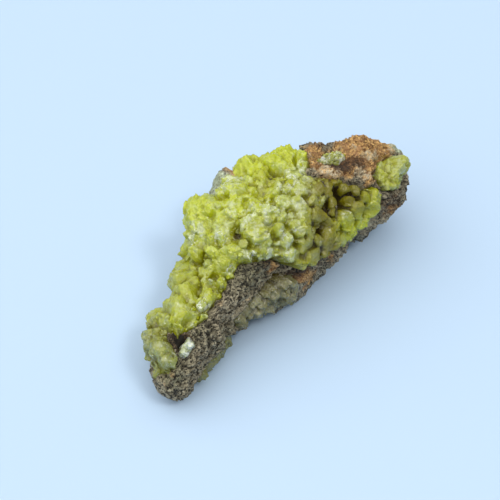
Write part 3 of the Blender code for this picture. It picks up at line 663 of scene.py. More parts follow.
def seated(name, wanted, least, greatest, margin, share, seed, taken):
    """x, angle and radius of crystals kept from `wanted` candidates, largest first. Their number
    follows the area of each lobe, their radius the size of the nearest named places."""
    draw = np.random.default_rng(seed)
    lobes = LOBES[name]
    area = [np.ptp(rows[:, 0]) * np.max(rows[:, 2] - rows[:, 1]) for rows in lobes]
    pick = draw.choice(len(lobes), wanted, p=np.array(area) / sum(area))
    x, angle = np.empty(wanted), np.empty(wanted)
    for k, rows in enumerate(lobes):
        mine = pick == k
        x[mine] = draw.uniform(rows[0, 0], rows[-1, 0], mine.sum())
        angle[mine] = radians(1) * draw.uniform(rows[:, 1].min(), rows[:, 2].max(), mine.sum())
    keep = inside_crusts([name], x, angle) > margin
    x, angle = x[keep], angle[keep]
    size = least + (greatest - least) * draw.uniform(0, 1, len(x))**SMALL_BIAS
    tone = tone_at(x, angle)
    size = np.maximum(size * tone[3], least)
    size[size < OLIVE_LEAST * tone[1]] = 0
    order = np.argsort(-size)[:np.count_nonzero(size)]
    x, angle, size = x[order], angle[order], size[order]
    chosen = pebbles(place(x, angle, outer_radius(x, angle)), size, share, taken)
    return x[chosen], angle[chosen], size[chosen]


print(len(pebbles(probe, np.full(len(probe), 1.0), 1.0)), "of", len(probe), "pebbles found room")

# %% Directions on the crust
ANY_WAY = np.array([0.31, 0.9, 0.2])  # it only has to differ from every crystal's axis


def unit(vectors):
    """The same directions, one long."""
    return vectors / np.maximum(np.linalg.norm(vectors, axis=-1, keepdims=True), 1e-9)


def across(axis):
    """Two directions square to each axis and to one another."""
    first = unit(np.cross(axis, ANY_WAY))
    return first, np.cross(axis, first)


def facing_out(vectors, angle):
    """The same vectors, turned round where they point at the section's centre."""
    straight = np.stack([0 * angle, np.cos(angle), np.sin(angle)], -1)
    return vectors * np.sign((vectors * straight).sum(-1, keepdims=True))


def crust_base(x, angle):
    """The points from which crystals rise: the outer surface less the crust's rise."""
    return place(x, angle, outer_radius(x, angle) - CRUST_RISE)


def stance(x, angle, step_x=0.25, step_around=0.05):
    """The seat on the crust, the way straight out, the way along X and the way around: small
    steps along x and around give the last two, and their cross product the first."""
    here = crust_base(x, angle)
    ahead = unit(crust_base(x + step_x, angle) - here)
    beside = unit(crust_base(x, angle + step_around) - here)
    return here, unit(facing_out(np.cross(beside, ahead), angle)), ahead, beside


def leaning(out, ahead, beside, slopes):
    """Axes tipped from straight out by two slopes: along X and around."""
    return unit(out + slopes[:, :1] * ahead + slopes[:, 1:] * beside)


crest = stance(np.array([0.0]), np.array([pi / 2]))
print("straight out at the crest:", crest[1].round(2))

# %% The planes of a crystal
STEEP = 0.85             # how much of a bevel's normal is the axis
UNEVEN_SIDES = (0.72, 1.08)  # distance of a side from the axis, as shares of the radius
STANDS = (0.30, 1.05)    # how high a crystal stands, as shares of its radius
TOP_LEAN = 0.20
# crystals stand lower behind the crest, where nothing hides them: limit, what it loses, where
BACK_LIMIT, BACK_LOSS, BACK_ANGLE, BACK_WIDTH, BACK_FROM_X = 0.95, 0.5, 72, 25, -14


def six_sides(axis, turn):
    """The normals of each crystal's six sides, turned about its axis."""
    first, other = across(axis)
    turn = turn[:, None] + np.arange(6) * pi / 3
    return np.cos(turn)[..., None] * first[:, None] + np.sin(turn)[..., None] * other[:, None]


def capped(side, off, axis, stand, cut, top):
    """The normals and distances of six sides, of the six bevels over them and of a top. A bevel's
    plane goes through the edge between its side and the top, less `cut`."""
    flat = (1 - STEEP**2)**0.5
    bevel = STEEP * axis[:, None] + flat * side
    bevel_off = STEEP * stand[:, None] + flat * off - cut
    return (np.concatenate([side, bevel, top[:, None]], 1),
            np.concatenate([off, bevel_off, stand[:, None]], 1))


def crystal_planes(x, angle, size, lean, crisp, seed):
    """Each crystal's seat, the normals of its 13 planes, their distances and its outward way.
    Lean, sides, height, bevels and top all vary a little about the crystal's radius."""
    draw = np.random.default_rng(seed)
    count = len(x)
    here, out, ahead, beside = stance(x, angle)
    axis = leaning(out, ahead, beside, np.tan(radians(lean)) * draw.normal(0, 0.6, (count, 2)))
    side = six_sides(axis, draw.uniform(0, pi, count))
    off = size[:, None] * draw.uniform(*UNEVEN_SIDES, (count, 6))
    behind = smooth((BACK_ANGLE - np.degrees(angle)) / BACK_WIDTH) * (x > BACK_FROM_X)
    stand = size * draw.uniform(*STANDS, count)
    stand = np.minimum(stand, BACK_LIMIT - BACK_LOSS * behind) + 0.1
    cut = (size * (0.06 + 0.14 * (1 - crisp)))[:, None] * draw.uniform(0.4, 1.5, (count, 6))
    top = unit(axis + TOP_LEAN * draw.normal(0, 1, (count, 1)) * across(axis)[0])
    planes, offsets = capped(side, off, axis, stand, cut, top)
    return here, planes, offsets, out


one = np.ones(1)
print("planes of a crystal:", crystal_planes(0 * one, pi / 2 * one, one, 0, one, 1)[1].shape[1])

# %% [markdown]
# The surface itself is a grid over x and angle that covers all the lobes of a crust. Booleans
# could join hundreds of barrels too, but slowly, and they fail where faces nearly touch. Outside
# the lobes the grid dips below the rock and stays hidden there, and a flat web through the rock
# closes it.

# %% Crystals raised over a grid
def blurred(values, reach):
    """The mean over a square window, by running sums along each axis."""
    for axis in (0, 1):
        count = values.shape[axis]
        ends = [values.take([side] * (reach + extra), axis) for side, extra in ((0, 1), (-1, 0))]
        sums = np.cumsum(np.concatenate([ends[0], values, ends[1]], axis), axis)
        low, high = (np.arange(count) + step for step in (0, 2 * reach + 1))
        values = (sums.take(high, axis) - sums.take(low, axis)) / (2 * reach + 1)
    return values


SHALLOWEST = 0.28        # the least slope at which a plane's height is read
EDGE, CRISP_EDGE = 14, 50  # sharpness of a blunt crystal's edges, and what crispness adds
HEAL, CRISP_HEAL = 18, 34  # the same for the joints between crystals


def raise_crystals(base, x, crystals, crisp, start):
    """The height over each grid point: the soft maximum, over all crystals, of the soft minimum
    of their planes, and which crystal is the highest there. The soft minimum of h is
    -log(sum(exp(-k h))) / k; that of a and b upwards is max(a, b) + log(1 + exp(-k |a - b|)) / k."""
    seats, planes, offsets, outs = crystals
    height = start.copy()
    owner = np.full(height.shape, -1)
    centre = seats[:, 0] + BOX_MIDDLE[0]
    for k in range(len(seats)):
        reach = offsets[k, :6].max() * 1.5 + 0.3
        rows = slice(*np.searchsorted(x, [centre[k] - reach, centre[k] + reach]))
        close = np.linalg.norm(base[rows] - seats[k], axis=-1) < reach
        columns = np.flatnonzero(close.any(0)) if close.size else np.empty(0, int)
        if len(columns) == 0:
            continue
        window = (rows, slice(columns[0], columns[-1] + 1))
        slope = np.maximum(planes[k] @ outs[k], SHALLOWEST)
        rise = (offsets[k] - (base[window] - seats[k]) @ planes[k].T) / slope
        lowest = rise.min(-1)
        edge, heal = EDGE + CRISP_EDGE * crisp[k], HEAL + CRISP_HEAL * crisp[k]
        stand = lowest - np.log(np.exp(-edge * (rise - lowest[..., None])).sum(-1)) / edge
        now = height[window]
        joint = np.log1p(np.exp(-heal * np.abs(now - stand))) / heal
        height[window] = np.maximum(now, stand) + joint
        owner[window] = np.where(stand > now, k, owner[window])
    return height, owner


print("a step blurred over three rows:", blurred(np.repeat([[0.0], [1.0]], 4, 0), 1)[:, 0].round(2))

# %% The grid under a crust
OVERHANG = 0.9           # how far the grid runs past the lobes


def crust_grid(name, pitch):
    """x and angle over all lobes of a crust, the points there and the ways straight out, which
    are the cross product of the grid's two directions."""
    lobes = np.vstack(LOBES[name])
    wide = float(outer_radius(lobes[:, 0], pi / 2).max())
    first = max(lobes[:, 0].min() - OVERHANG, 0.05 - LENGTH_MINUS)
    x = np.arange(first, lobes[:, 0].max() + OVERHANG, pitch)
    low, high = (radians(f) for f in (lobes[:, 1].min(), lobes[:, 2].max()))
    angle = np.arange(low - OVERHANG / wide, high + OVERHANG / wide, pitch / wide)
    gx, ga = np.meshgrid(x, angle, indexing="ij")
    flat = crust_base(gx, ga)
    normal = unit(np.cross(np.gradient(flat, axis=1), np.gradient(flat, axis=0)))
    return gx, ga, flat, facing_out(normal, ga)


def patch_faces(rows, columns):
    """Faces of a grid, closed by a web between its two long edges and a fan at either end."""
    index = np.arange(rows * columns).reshape(rows, columns)
    near, far = index[:-1], index[1:]
    quads = np.stack([near[:, :-1], far[:, :-1], far[:, 1:], near[:, 1:]], -1).reshape(-1, 4)
    web = np.stack([near[:, 0], near[:, -1], far[:, -1], far[:, 0]], -1)
    fans = [np.stack([np.full(columns - 2, line[0]), line[1:-1], line[2:]], -1)
            for line in (index[0], index[-1])]
    return np.vstack([quads, web]), np.vstack([fans[0], fans[1][:, ::-1]])


print("grid of the tip cluster:", crust_grid("tip_cluster", 0.5)[0].shape, "at half a millimetre")

# %% One crust's surface
SCALLOPS, SHARDS, CHIPS_OF_CRYSTAL, SUGAR = 0.95, 0.95, 0.42, 0.55  # sizes of its cells, in mm
SHARD_RISE, CHIP_OF_CRYSTAL_RISE = 0.85, 0.34
HIDDEN_DEPTH = 1.3       # how far under the rock the surface runs outside the lobes
FOLD_WIDTH = 0.9         # folds are hollows below the mean height over this far each way


def crust_surface(name, pitch, crystals, crisp, seed, drop=0.0, soft=0.9):
    """Points, faces and numbers of one crust's surface. Its height is that of the crystals, broken
    by small tilted faces, + noise + relief, and it sinks over `soft` mm towards the edge."""
    gx, ga, flat, normal = crust_grid(name, pitch)
    reach = reach_at(gx, ga)
    scallop, _, _, _ = cell_noise(flat, SCALLOPS, seed + 8)
    ragged = 0.40 * fractal(flat, 1.7, 3, seed + 9)
    inside = inside_crusts([name], gx, ga) + ragged + 0.7 * (0.45 - scallop)
    bent = flat + 0.15 * fractal(flat, 0.7, 2, seed)[..., None]
    fine, _, _, _ = cell_noise(bent, SUGAR, seed + 1)
    _, _, shard, wide_facet = cell_noise(flat, SHARDS, seed + 21)
    _, _, chip, small_facet = cell_noise(flat, CHIPS_OF_CRYSTAL, seed + 31)
    yellow, olive, frost, _ = (t.reshape(gx.shape) for t in tone_at(gx.ravel(), ga.ravel()))
    start = -0.12 - 0.85 * olive - 0.15 * (1 - yellow) + 0.5 * SUGAR * (0.8 - fine)
    height, owner = raise_crystals(flat, gx[:, 0], crystals, crisp, start)
    clean = smooth((np.append(crisp, 0.0)[owner] - 0.62) / 0.2)
    facets = SHARD_RISE * wide_facet + CHIP_OF_CRYSTAL_RISE * small_facet
    height = height + (1 - 0.8 * np.maximum(olive, clean)) * facets
    deeper = (blurred(height, int(FOLD_WIDTH / pitch)) - height) / 0.5
    relief = crust_relief(gx, ga, flat)
    height = height + 0.03 * fractal(flat, 0.5, 3, seed + 7) + relief
    edge = smooth((inside + 0.6) / soft)
    points = flat + (height - drop - 0.55 * soft * (1 - edge))[..., None] * normal
    sunk = place(gx, ga, rock_radius(gx, ga) - HIDDEN_DEPTH)
    share = smooth((inside + 0.85) / 0.5)[..., None]
    points = sunk + (points - sunk) * share
    points[..., 2] = np.maximum(points[..., 2], 0.02)

    each = np.random.default_rng(seed).uniform(0, 1, len(crisp) + 1)
    own = 0.45 * np.where(owner < 0, 0.5, each[owner]) + 0.3 * shard + 0.25 * chip
    # painted shade: patchy dark clefts where the surface lies deep at the named places, and along
    # the crust's edge
    stains_and_shade = 0.55 + 0.9 * fractal(flat, 0.9, 3, seed + 11)
    fold_shade = bells(SHADED_CLEFTS, gx, ga, reach) * stains_and_shade * smooth((deeper - 0.6 * relief + 0.1) / 0.5)
    edge_shade = 0.5 * stains_and_shade * smooth(-(inside + 0.2) / 0.4)
    # painted shade: the folds are darker and a deeper yellow, most at the named ones
    yellow_fold_shade = 0.6 * bells(YELLOW_FOLD_SHADES, gx, ga, reach)
    # the frost numbers also carry the painted glint spots; crest places the rims' painted highlights
    values = {
        "yellow": yellow, "olive": olive, "frost": frost + bells(PAINTED_GLINTS, gx, ga, reach),
        "own": own, "cleft": np.clip(np.maximum(fold_shade, edge_shade), 0, 1),
        "hollow": np.clip(deeper + yellow_fold_shade, 0, 1), "crest": np.clip(-deeper, 0, 1),
    }
    values = {label: numbers.ravel() for label, numbers in values.items()}
    return points.reshape(-1, 3), *patch_faces(*gx.shape), values


print("a crust's cells are", SCALLOPS, SHARDS, CHIPS_OF_CRYSTAL, "and", SUGAR, "mm across")

# %% [markdown]
# ## Free crystals
# Some crystals stand free. They are separate closed barrels: rings at foot, belly, shoulder, rim
# and a slightly hollow top. Instances would be lighter, but each barrel here has its own uneven
# sides, so all of them are worked out as one array, with a few dozen faces each.

# %% Barrels as one array
ROOT = 0.2               # how far a barrel's foot reaches below its seat, besides its radius
CORNER_BEVEL = 0.10      # half the angle that a bevelled corner takes up
LEVELS = np.array([0.0, 0.55, 0.86, 1.0, 0.97])  # foot, belly, shoulder, rim and top
WIDTHS = np.array([0.90, 1.00, 0.97, 0.82, 0.42])
BLUNTING = np.array([0, 0, 0.05, 0.12, 0.1])  # how much narrower they are where it is blunt
TILTED = np.array([0, 0, 1, 1, 1])


def barrels(seat, axis, spin, radius, stand, squash, oblique, crisp, sides, seed):
    """Points and faces of many barrels. Around: corner angles, in pairs where there are twelve, so
    the corners are bevelled. Up: rings whose widths are shares of the radius; the top leans by
    `oblique`. `crisp` (0 to 1) narrows the bevels."""
    draw = np.random.default_rng(seed)
    count = len(seat)
    corner = np.arange(6) * pi / 3
    if sides == 12:
        corner = np.repeat(corner, 2) + np.tile([-CORNER_BEVEL, CORNER_BEVEL], 6)
    around = corner[None, None, :] + spin[:, None, None]
    uneven = 1 + 0.16 * draw.uniform(-1, 1, (count, 1, sides // 2)).repeat(2, -1)
    wide = (WIDTHS - (1 - crisp)[:, None] * BLUNTING) * radius[:, None]
    low_end = radius * 1.1 + ROOT
    up = -low_end[:, None] + (low_end + stand)[:, None] * LEVELS
    up[:, 2] = stand - radius * (0.26 - 0.14 * crisp)
    up[:, 4] = stand - radius * 0.06 * draw.uniform(-0.6, 1.6, count)
    along_a = wide[:, :, None] * np.cos(around) * uneven
    along_b = wide[:, :, None] * np.sin(around) * uneven * squash[:, None, None]
    tilt = oblique[:, None, None] * along_a * TILTED[None, :, None]
    first, other = (way[:, None, None, :] for way in across(axis))
    rings = seat[:, None, None, :] + (up[:, :, None] + tilt)[..., None] * axis[:, None, None, :]
    rings = rings + along_a[..., None] * first + along_b[..., None] * other
    low = (seat - low_end[:, None] * axis)[:, None, :]
    top = rings[:, 4].mean(1)[:, None, :]
    points = np.concatenate([rings.reshape(count, -1, 3), low, top], 1)
    quads, triangles = tube_faces(5, sides)
    step = points.shape[1]
    shift = (np.arange(count) * step)[:, None, None]
    # painted shade on a free barrel: strongest at its foot, none at its rim
    hollow = np.concatenate([np.repeat([1.0, 0.45, 0.05, 0.0, 0.1], sides), [1.0, 0.1]])
    return (points.reshape(-1, 3), (quads[None] + shift).reshape(-1, 4),
            (triangles[None] + shift).reshape(-1, 3), step, np.tile(hollow, count))


def join(parts):
    """Several sets of points, faces and numbers as one: each set's faces are counted on from the
    points before it."""
    starts = np.cumsum([0] + [len(part[0]) for part in parts])
    points = np.vstack([part[0] for part in parts])
    quads = np.vstack([part[1] + start for part, start in zip(parts, starts)])
    triangles = np.vstack([part[2] + start for part, start in zip(parts, starts)])
    labels = parts[0][3]
    return points, quads, triangles, {
        label: np.concatenate([part[3][label] for part in parts]) for label in labels}


print("a barrel's rings, in radii, from foot to top:", WIDTHS)

# %% Barrels on a surface
def loft_place(points):
    """x and angle of points near the surface: place() the other way round."""
    x = points[:, 0] + BOX_MIDDLE[0]
    y = points[:, 1] + BOX_MIDDLE[1] - along(0, x)
    z = points[:, 2] + REST_CUT - along(1, x)
    return x, np.mod(np.arctan2(z, y) + pi / 2, 2 * pi) - pi / 2


at_tip = loft_place(place(np.array([-20.0]), np.array([1.0]), 3.0))
print("there and back:", [round(float(number[0]), 3) for number in at_tip])


def free_crystals(surface, name, wanted, least, greatest, share, seed, lean=50, sides=6,
                  stand=(0.6, 1.8), between=(0.1, 99), sunken=-1.0):
    """Barrels on points of a crust's surface, each leaning its own way. `between` keeps those that
    far inside the crust's edge, `sunken` those that stand at least so deep between others."""
    points, _, _, values = surface
    draw = np.random.default_rng(seed)
    pick = draw.choice(len(points), wanted, replace=False)
    size = least + (greatest - least) * draw.uniform(0, 1, wanted)**2
    x, angle = loft_place(points[pick])
    depth = inside_crusts([name], x, angle)
    keep = (depth > between[0]) & (depth < between[1]) & (values["hollow"][pick] > sunken)
    order = np.argsort(-size)
    order = order[keep[order]]
    chosen = order[pebbles(points[pick[order]], size[order], share)]
    size, x, angle, pick = (numbers[chosen] for numbers in (size, x, angle, pick))
    spot, count = points[pick], len(pick)
    _, out, ahead, beside = stance(x, angle)
    slopes = np.tan(radians(lean)) * draw.normal(0, 0.55, (count, 2))
    yellow, olive, frost, _ = tone_at(x, angle)
    crisp = np.clip(0.9 - 0.7 * olive + draw.uniform(-0.2, 0.1, count), 0, 1)
    solid, quads, triangles, step, hollow = barrels(
        spot, leaning(out, ahead, beside, slopes), spin=draw.uniform(0, 1, count), radius=size,
        stand=size * draw.uniform(*stand, count), squash=draw.uniform(0.65, 1.0, count),
        oblique=draw.uniform(-0.4, 0.4, count), crisp=crisp, sides=sides, seed=seed)
    each = {
        "yellow": yellow + draw.normal(0, 0.1, count),
        "olive": 0.7 * olive + draw.normal(0, 0.05, count),
        "frost": frost + draw.normal(0, 0.15, count), "own": draw.uniform(0, 1, count),
    }
    numbers = {label: np.repeat(np.clip(v, 0, 1), step) for label, v in each.items()}
    # painted shade: a barrel's own, more where it stands in a fold; the rims' painted highlights go
    # where there is less
    deep = np.repeat(values["hollow"][pick], step)
    numbers.update(hollow=np.clip(hollow + 0.6 * deep, 0, 1), cleft=0 * hollow,
                   crest=0.5 * (1 - hollow))
    print(count, "free crystals on", name)
    return solid, quads, triangles, numbers

# %% [markdown]
# ### The main crust
# The largest crystals are placed one by one, because a few of them give the specimen its face:
# the blunt blocks of the shoulder and the arm, the long crystal that lies along the ridge, the
# frosted block beside the bare rock and the bright yellow one at the lower edge. The rest are
# seated around them by the pebble rule.

# %% Large crystals of the main crust
# x, angle, lean along X and around (degrees), radius, stand, spin, crispness
LARGE = [
    (-5.4, 42, -14, -10, 2.0, 0.9, 0.1, 0.1), (-7.6, 58, -10, 0, 1.3, 0.7, 0.5, 0.3),
    (-9.2, 57, -18, 6, 1.2, 1.3, 0.3, 0.95), (-8.5, 86, -10, 0, 1.30, 1.9, 0.2, 1.0),
    (-10.5, 80, -14, 0, 1.25, 0.9, 0.6, 0.3), (-11.6, 97, 20, -16, 0.72, 1.9, 0.4, 1.0),
    (-12.5, 66, -14, 0, 1.3, 0.9, 0.8, 0.4), (-14.5, 102, -10, 8, 1.0, 1.1, 0.5, 0.8),
    (-17.0, 98, -14, 0, 1.2, 0.6, 0.2, 0.3), (-5.9, 108, 62, 38, 0.80, 3.5, 0.3, 1.0),
    (-6.2, 119, 40, 20, 0.65, 1.8, 0.7, 0.8), (-2.8, 124, 24, 20, 0.95, 1.2, 0.1, 0.6),
    (-3.0, 76, -10, -8, 1.5, 0.8, 0.4, 0.2), (-0.6, 80, 0, -8, 1.2, 0.8, 0.9, 0.3),
    (5.6, 60, 0, -14, 1.8, 1.1, 0.3, 0.1), (2.6, 74, -6, -14, 1.3, 0.9, 0.2, 0.2),
    (4.8, 92, 8, 0, 1.25, 1.0, 0.6, 0.3), (3.4, 111, 0, 6, 1.4, 0.9, 0.1, 0.2),
    (0.4, 110, -6, 6, 1.2, 0.8, 0.7, 0.3), (6.5, 123, 12, 0, 0.85, 0.9, 0.2, 0.1),
    (7.8, 132, 14, 4, 0.85, 0.8, 0.5, 0.1), (5.3, 137, 4, 4, 0.9, 0.8, 0.8, 0.1),
    (7.5, 145, 10, 6, 0.85, 0.7, 0.3, 0.2), (5.4, 157, 0, 12, 1.4, 1.2, 0.6, 0.8),
    (7.6, 169, 8, 6, 1.1, 0.8, 0.4, 0.4), (9.6, 150, 14, 4, 1.0, 0.8, 0.1, 0.3),
    (0.7, 152, -6, 8, 0.95, 0.9, 0.5, 0.3),
    (4.0, 131, 16, 14, 0.75, 1.3, 0.3, 1.0), (5.6, 128, 6, 0, 0.9, 0.9, 0.2, 0.2),
    (3.0, 148, -8, 6, 0.9, 0.7, 0.6, 0.2), (8.9, 139, 12, 0, 0.8, 0.9, 0.4, 0.1),
]
LISTED_ROOM = 1.5        # the room that a listed crystal takes from the others, in radii
SEAT_MARGIN = -0.7       # seats lie up to this far outside a crust's edge


def listed_crystals(table, seed):
    """The planes of the listed crystals, their crispness, and the room that they take up."""
    x, angle, lean_x, lean_around, size, tall, spin, crisp = np.array(table, float).T
    angle = np.radians(angle)
    seats, _, offsets, out = crystal_planes(x, angle, size, 0, crisp, seed)
    _, _, ahead, beside = stance(x, angle)
    slopes = np.tan(np.radians(np.stack([lean_x, lean_around], 1)))
    axis = leaning(out, ahead, beside, slopes)
    cut = (size * (0.05 + 0.17 * (1 - crisp)))[:, None]
    planes, offsets = capped(six_sides(axis, spin), offsets[:, :6], axis, tall, cut, axis)
    room = place(x, angle, outer_radius(x, angle)), LISTED_ROOM * size
    return (seats, planes, offsets, out), crisp, room


def crust_crystals(name, wanted, least, greatest, share, lean, seed, taken=NOTHING):
    """Seats and planes of a crust's crystals, and how crisp each is."""
    x, angle, size = seated(name, wanted, least, greatest, SEAT_MARGIN, share, seed, taken)
    olive = tone_at(x, angle)[1]
    vary = np.random.default_rng(seed).uniform(-0.5, 0.25, len(x))
    crisp = np.clip(0.75 - 0.45 * olive + vary, 0, 1)
    print(name, len(x), "crystals grown together")
    return crystal_planes(x, angle, size, lean, crisp, seed + 1), crisp

# %% Grow the main crust
# tried, least and greatest radius, share, seed, lean, sides, stand, between, sunken
MAIN_FREE = [
    (200, 0.30, 0.80, 1.3, 81, 40, 12, (0.3, 1.1), (0.7, 99), 0.3),
    (500, 0.10, 0.24, 1.2, 83, 50, 6, (0.2, 1.2), (0.1, 99), 0.3),
    (2400, 0.12, 0.36, 1.1, 87, 50, 6, (0.2, 0.9), (-0.2, 0.5), -1.0),
]
listed, listed_crisp, room = listed_crystals(LARGE, 3)
grown, grown_crisp = crust_crystals("main_crust", 6000, 0.45, 1.9, 0.56, 40, 5, room)
crystals = tuple(np.concatenate(pair) for pair in zip(listed, grown))
crisp = np.concatenate([listed_crisp, grown_crisp])
main_surface = crust_surface("main_crust", 0.100, crystals, crisp, 71, soft=1.3)
main_base = make_piece("main_crust_surface", *main_surface)
main_parts = [free_crystals(main_surface, "main_crust", *row) for row in MAIN_FREE]
main_free = make_piece("main_crust_free_crystals", *join(main_parts), soft=False)
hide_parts("main_crust")
crust_pieces = {"main_crust": (main_base, main_free)}

# %% [markdown]
# ### The smaller crusts
# The others are grown by the same functions, each with its own range of sizes: a rounded knob at
# the tip, a pale group on the far end, a row on the ledge, a crust under the arm and a drusy
# patch on the saddle. The glassy crystals by the hollow are thinner and stand higher.

# %% Grow the smaller crusts
SMALL_CRUSTS = {
    # least and greatest radius, share, lean, free crystals tried, their greatest radius, drop, soft
    "tip_cluster": (0.5, 1.5, 0.60, 30, 60, 0.35, 0.15, 1.9),
    "end_cluster": (0.6, 1.5, 0.60, 28, 30, 0.35, -0.25, 1.4),
    "ledge_crust": (0.35, 1.15, 0.60, 34, 30, 0.30, 0.20, 1.1),
    "underside_crust": (0.35, 0.9, 0.55, 14, 24, 0.30, 0.3, 1.6),
    "saddle_cluster": (0.2, 0.6, 0.6, 34, 120, 0.28, 0.3, 1.6),
    "cavity_crystals": (0.25, 0.6, 0.6, 40, 90, 0.34, 0.0, 0.9),
}


def grow_small_crust(name, number, least, greatest, share, lean, tried, largest, drop, soft):
    """A smaller crust's surface and its free crystals, as two pieces."""
    crystals, crisp = crust_crystals(name, 1500, least, greatest, share, lean, 20 + number)
    surface = crust_surface(name, 0.11, crystals, crisp, 90 + number, drop, soft)
    free = free_crystals(surface, name, tried, 0.1, largest, 1.3, 110 + number)
    base = make_piece(name + "_surface", *surface)
    grown = make_piece(name + "_free_crystals", *free, soft=False)
    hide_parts(name)
    return base, grown


for number, (name, row) in enumerate(SMALL_CRUSTS.items()):
    crust_pieces[name] = grow_small_crust(name, number, *row)

# %% [markdown]
# ## Finishes
# A finish is a Principled BSDF whose colour and roughness vary over the surface. The small class
# below wraps a socket, so that shader maths reads like arithmetic: `1 - mask` adds a Math node.

# %% Shader maths as expressions
class Number:
    """A socket that carries a number; arithmetic on it adds Math nodes."""

    def __init__(self, finish, socket):
        self.finish, self.socket = finish, socket

    def math(self, operation, first, second):
        """One Math node."""
        return self.finish.add("Math", {"operation": operation}, {0: first, 1: second})

    def __add__(self, other):
        return self.math("ADD", self, other)

    def __radd__(self, other):
        return self.math("ADD", other, self)

    def __sub__(self, other):
        return self.math("SUBTRACT", self, other)

    def __rsub__(self, other):
        return self.math("SUBTRACT", other, self)

    def __mul__(self, other):
        return self.math("MULTIPLY", self, other)

    def __rmul__(self, other):
        return self.math("MULTIPLY", other, self)

    def clamped(self):
        """Kept between 0 and 1."""
        return self.math("MINIMUM", self.math("MAXIMUM", self, 0.0), 1.0)

    def swing(self, size):
        """How far it lies above or below a half, times a size."""
        return (self - 0.5) * size

    def above(self, edge, width):
        """0 below the edge, 1 past edge plus width, smooth between."""
        return self.finish.add("MapRange", {"interpolation_type": "SMOOTHSTEP"},
                               {0: self, 1: edge, 2: edge + width, 3: 0.0, 4: 1.0})


class Finish:
    """A material and its Principled BSDF."""

    def __init__(self, name, **constants):
        self.material = bpy.data.materials.new(name)
        self.material.use_nodes = True
        self.tree = self.material.node_tree
        self.shader = self.tree.nodes["Principled BSDF"]
        for label, value in constants.items():
            self.shader.inputs[label.replace("_", " ")].default_value = value

    def add(self, kind, settings=None, sockets=None, out=0):
        """One node of a type, its settings first, then the values or links of its sockets."""
        node = self.tree.nodes.new("ShaderNode" + kind)
        for key, value in (settings or {}).items():
            setattr(node, key, value)
        for key, value in (sockets or {}).items():
            if isinstance(value, Number):
                self.tree.links.new(value.socket, node.inputs[key])
            else:
                node.inputs[key].default_value = value
        return Number(self, node.outputs[out])

    def attribute(self, label):
        """The number that the vertices carry under this name."""
        return self.add("Attribute", {"attribute_name": label}, out=2)

    def place(self):
        """The point's place on its object, in metres."""
        return self.add("TexCoord", out=3)

    def noise(self, size_mm, detail, rough):
        """Noise whose features are about this many millimetres across."""
        sockets = {0: self.place(), 2: 1000.0 / size_mm, 3: detail, 4: rough}
        return self.add("TexNoise", {"noise_dimensions": "3D"}, sockets)

    def cells(self, size_mm):
        """The distance to the nearest of points scattered this far apart."""
        sockets = {0: self.place(), 2: 1000.0 / size_mm}
        return self.add("TexVoronoi", {"feature": "F1"}, sockets)

    def mix(self, factor, first, second):
        """Blends two colours."""
        first, second = (colour if isinstance(colour, Number) else (*colour, 1.0)
                         for colour in (first, second))
        return self.add("Mix", {"data_type": "RGBA"}, {0: factor, 6: first, 7: second}, 2)

    def feed(self, label, value):
        """Links a value to one of the shader's inputs."""
        self.tree.links.new(value.socket, self.shader.inputs[label])

    def bump(self, height, distance_mm):
        """Shades the surface as if it rose by height times a distance."""
        self.feed("Normal", self.add("Bump", None, {0: 1.0, 1: distance_mm * MM, 3: height}))


print("shader maths: plus, minus and times on sockets, with a plain number on either side")

# %% [markdown]
# ### Rock
# The host rock is a porous grey-brown gossan. Its grains differ in tint, its pores and the seams
# between its grains are painted nearly black as shade, and the far end is stained by limonite,
# from orange to dark brown, with whitish grains.
# At the back and at the far rim lies some pale grey-green quartz. The stains are masks on the
# vertices, and noise breaks up their edges. An image could be wrapped round the rock instead,
# but it would need seams and would blur close up.

# %% Rock finish
# the near-black is painted shade in the pores and also the blackest brown stain; the rusty
# near-black is painted shade in the limonite's pores
ROCK, GRAIN, PORE_SHADE_AND_BLACK_STAIN = (0.185, 0.155, 0.095), (0.50, 0.435, 0.290), (0.014, 0.011, 0.006)
ORANGE, BROWN, WHITISH = (0.88, 0.54, 0.175), (0.095, 0.046, 0.018), (0.66, 0.57, 0.38)
RUSTY, RUSTY_BROWN, RUSTY_PORE_SHADE = (0.47, 0.260, 0.105), (0.26, 0.125, 0.045), (0.15, 0.066, 0.020)
QUARTZ, DIRTY_QUARTZ, MOSS = (0.72, 0.80, 0.60), (0.46, 0.50, 0.32), (0.19, 0.19, 0.09)

stone = Finish("porous_rock", Roughness=0.85)
grain, seam, green, quartz, rust, pale, brown, pore = (stone.attribute(label) for label in (
    "grain", "seam", "green", "quartz", "rust", "pale", "brown", "pore"))
speckle, fleck = stone.noise(0.19, 3, 0.75), stone.noise(0.42, 3, 0.7)
crumb, cloud = stone.noise(0.8, 4, 0.7), stone.noise(1.8, 4, 0.65)

# the bare rock, its moss-green tinge and its quartz
colour = stone.mix((grain.swing(1.1) + speckle.swing(4.4) + 0.56).clamped(), ROCK, GRAIN)
colour = stone.mix((green * (0.4 + cloud)).clamped(), colour, MOSS)
vein = stone.mix(crumb.above(0.45, 0.2), DIRTY_QUARTZ, QUARTZ)
colour = stone.mix((quartz + cloud.swing(1.6)).above(0.42, 0.3), colour, vein)

# limonite: rusty and orange crumbs, with brown flecks and whitish grains
rust_mask = (rust + cloud.swing(1.2) + grain.swing(0.3)).above(0.22, 0.5)
rusty = stone.mix(crumb.above(0.40, 0.18), RUSTY, ORANGE)
rusty = stone.mix(fleck.above(0.50, 0.10) * 0.75, rusty, RUSTY_BROWN)
rusty = stone.mix(crumb.above(0.58, 0.08) * 0.8, rusty, WHITISH)
colour = stone.mix(rust_mask, colour, rusty)

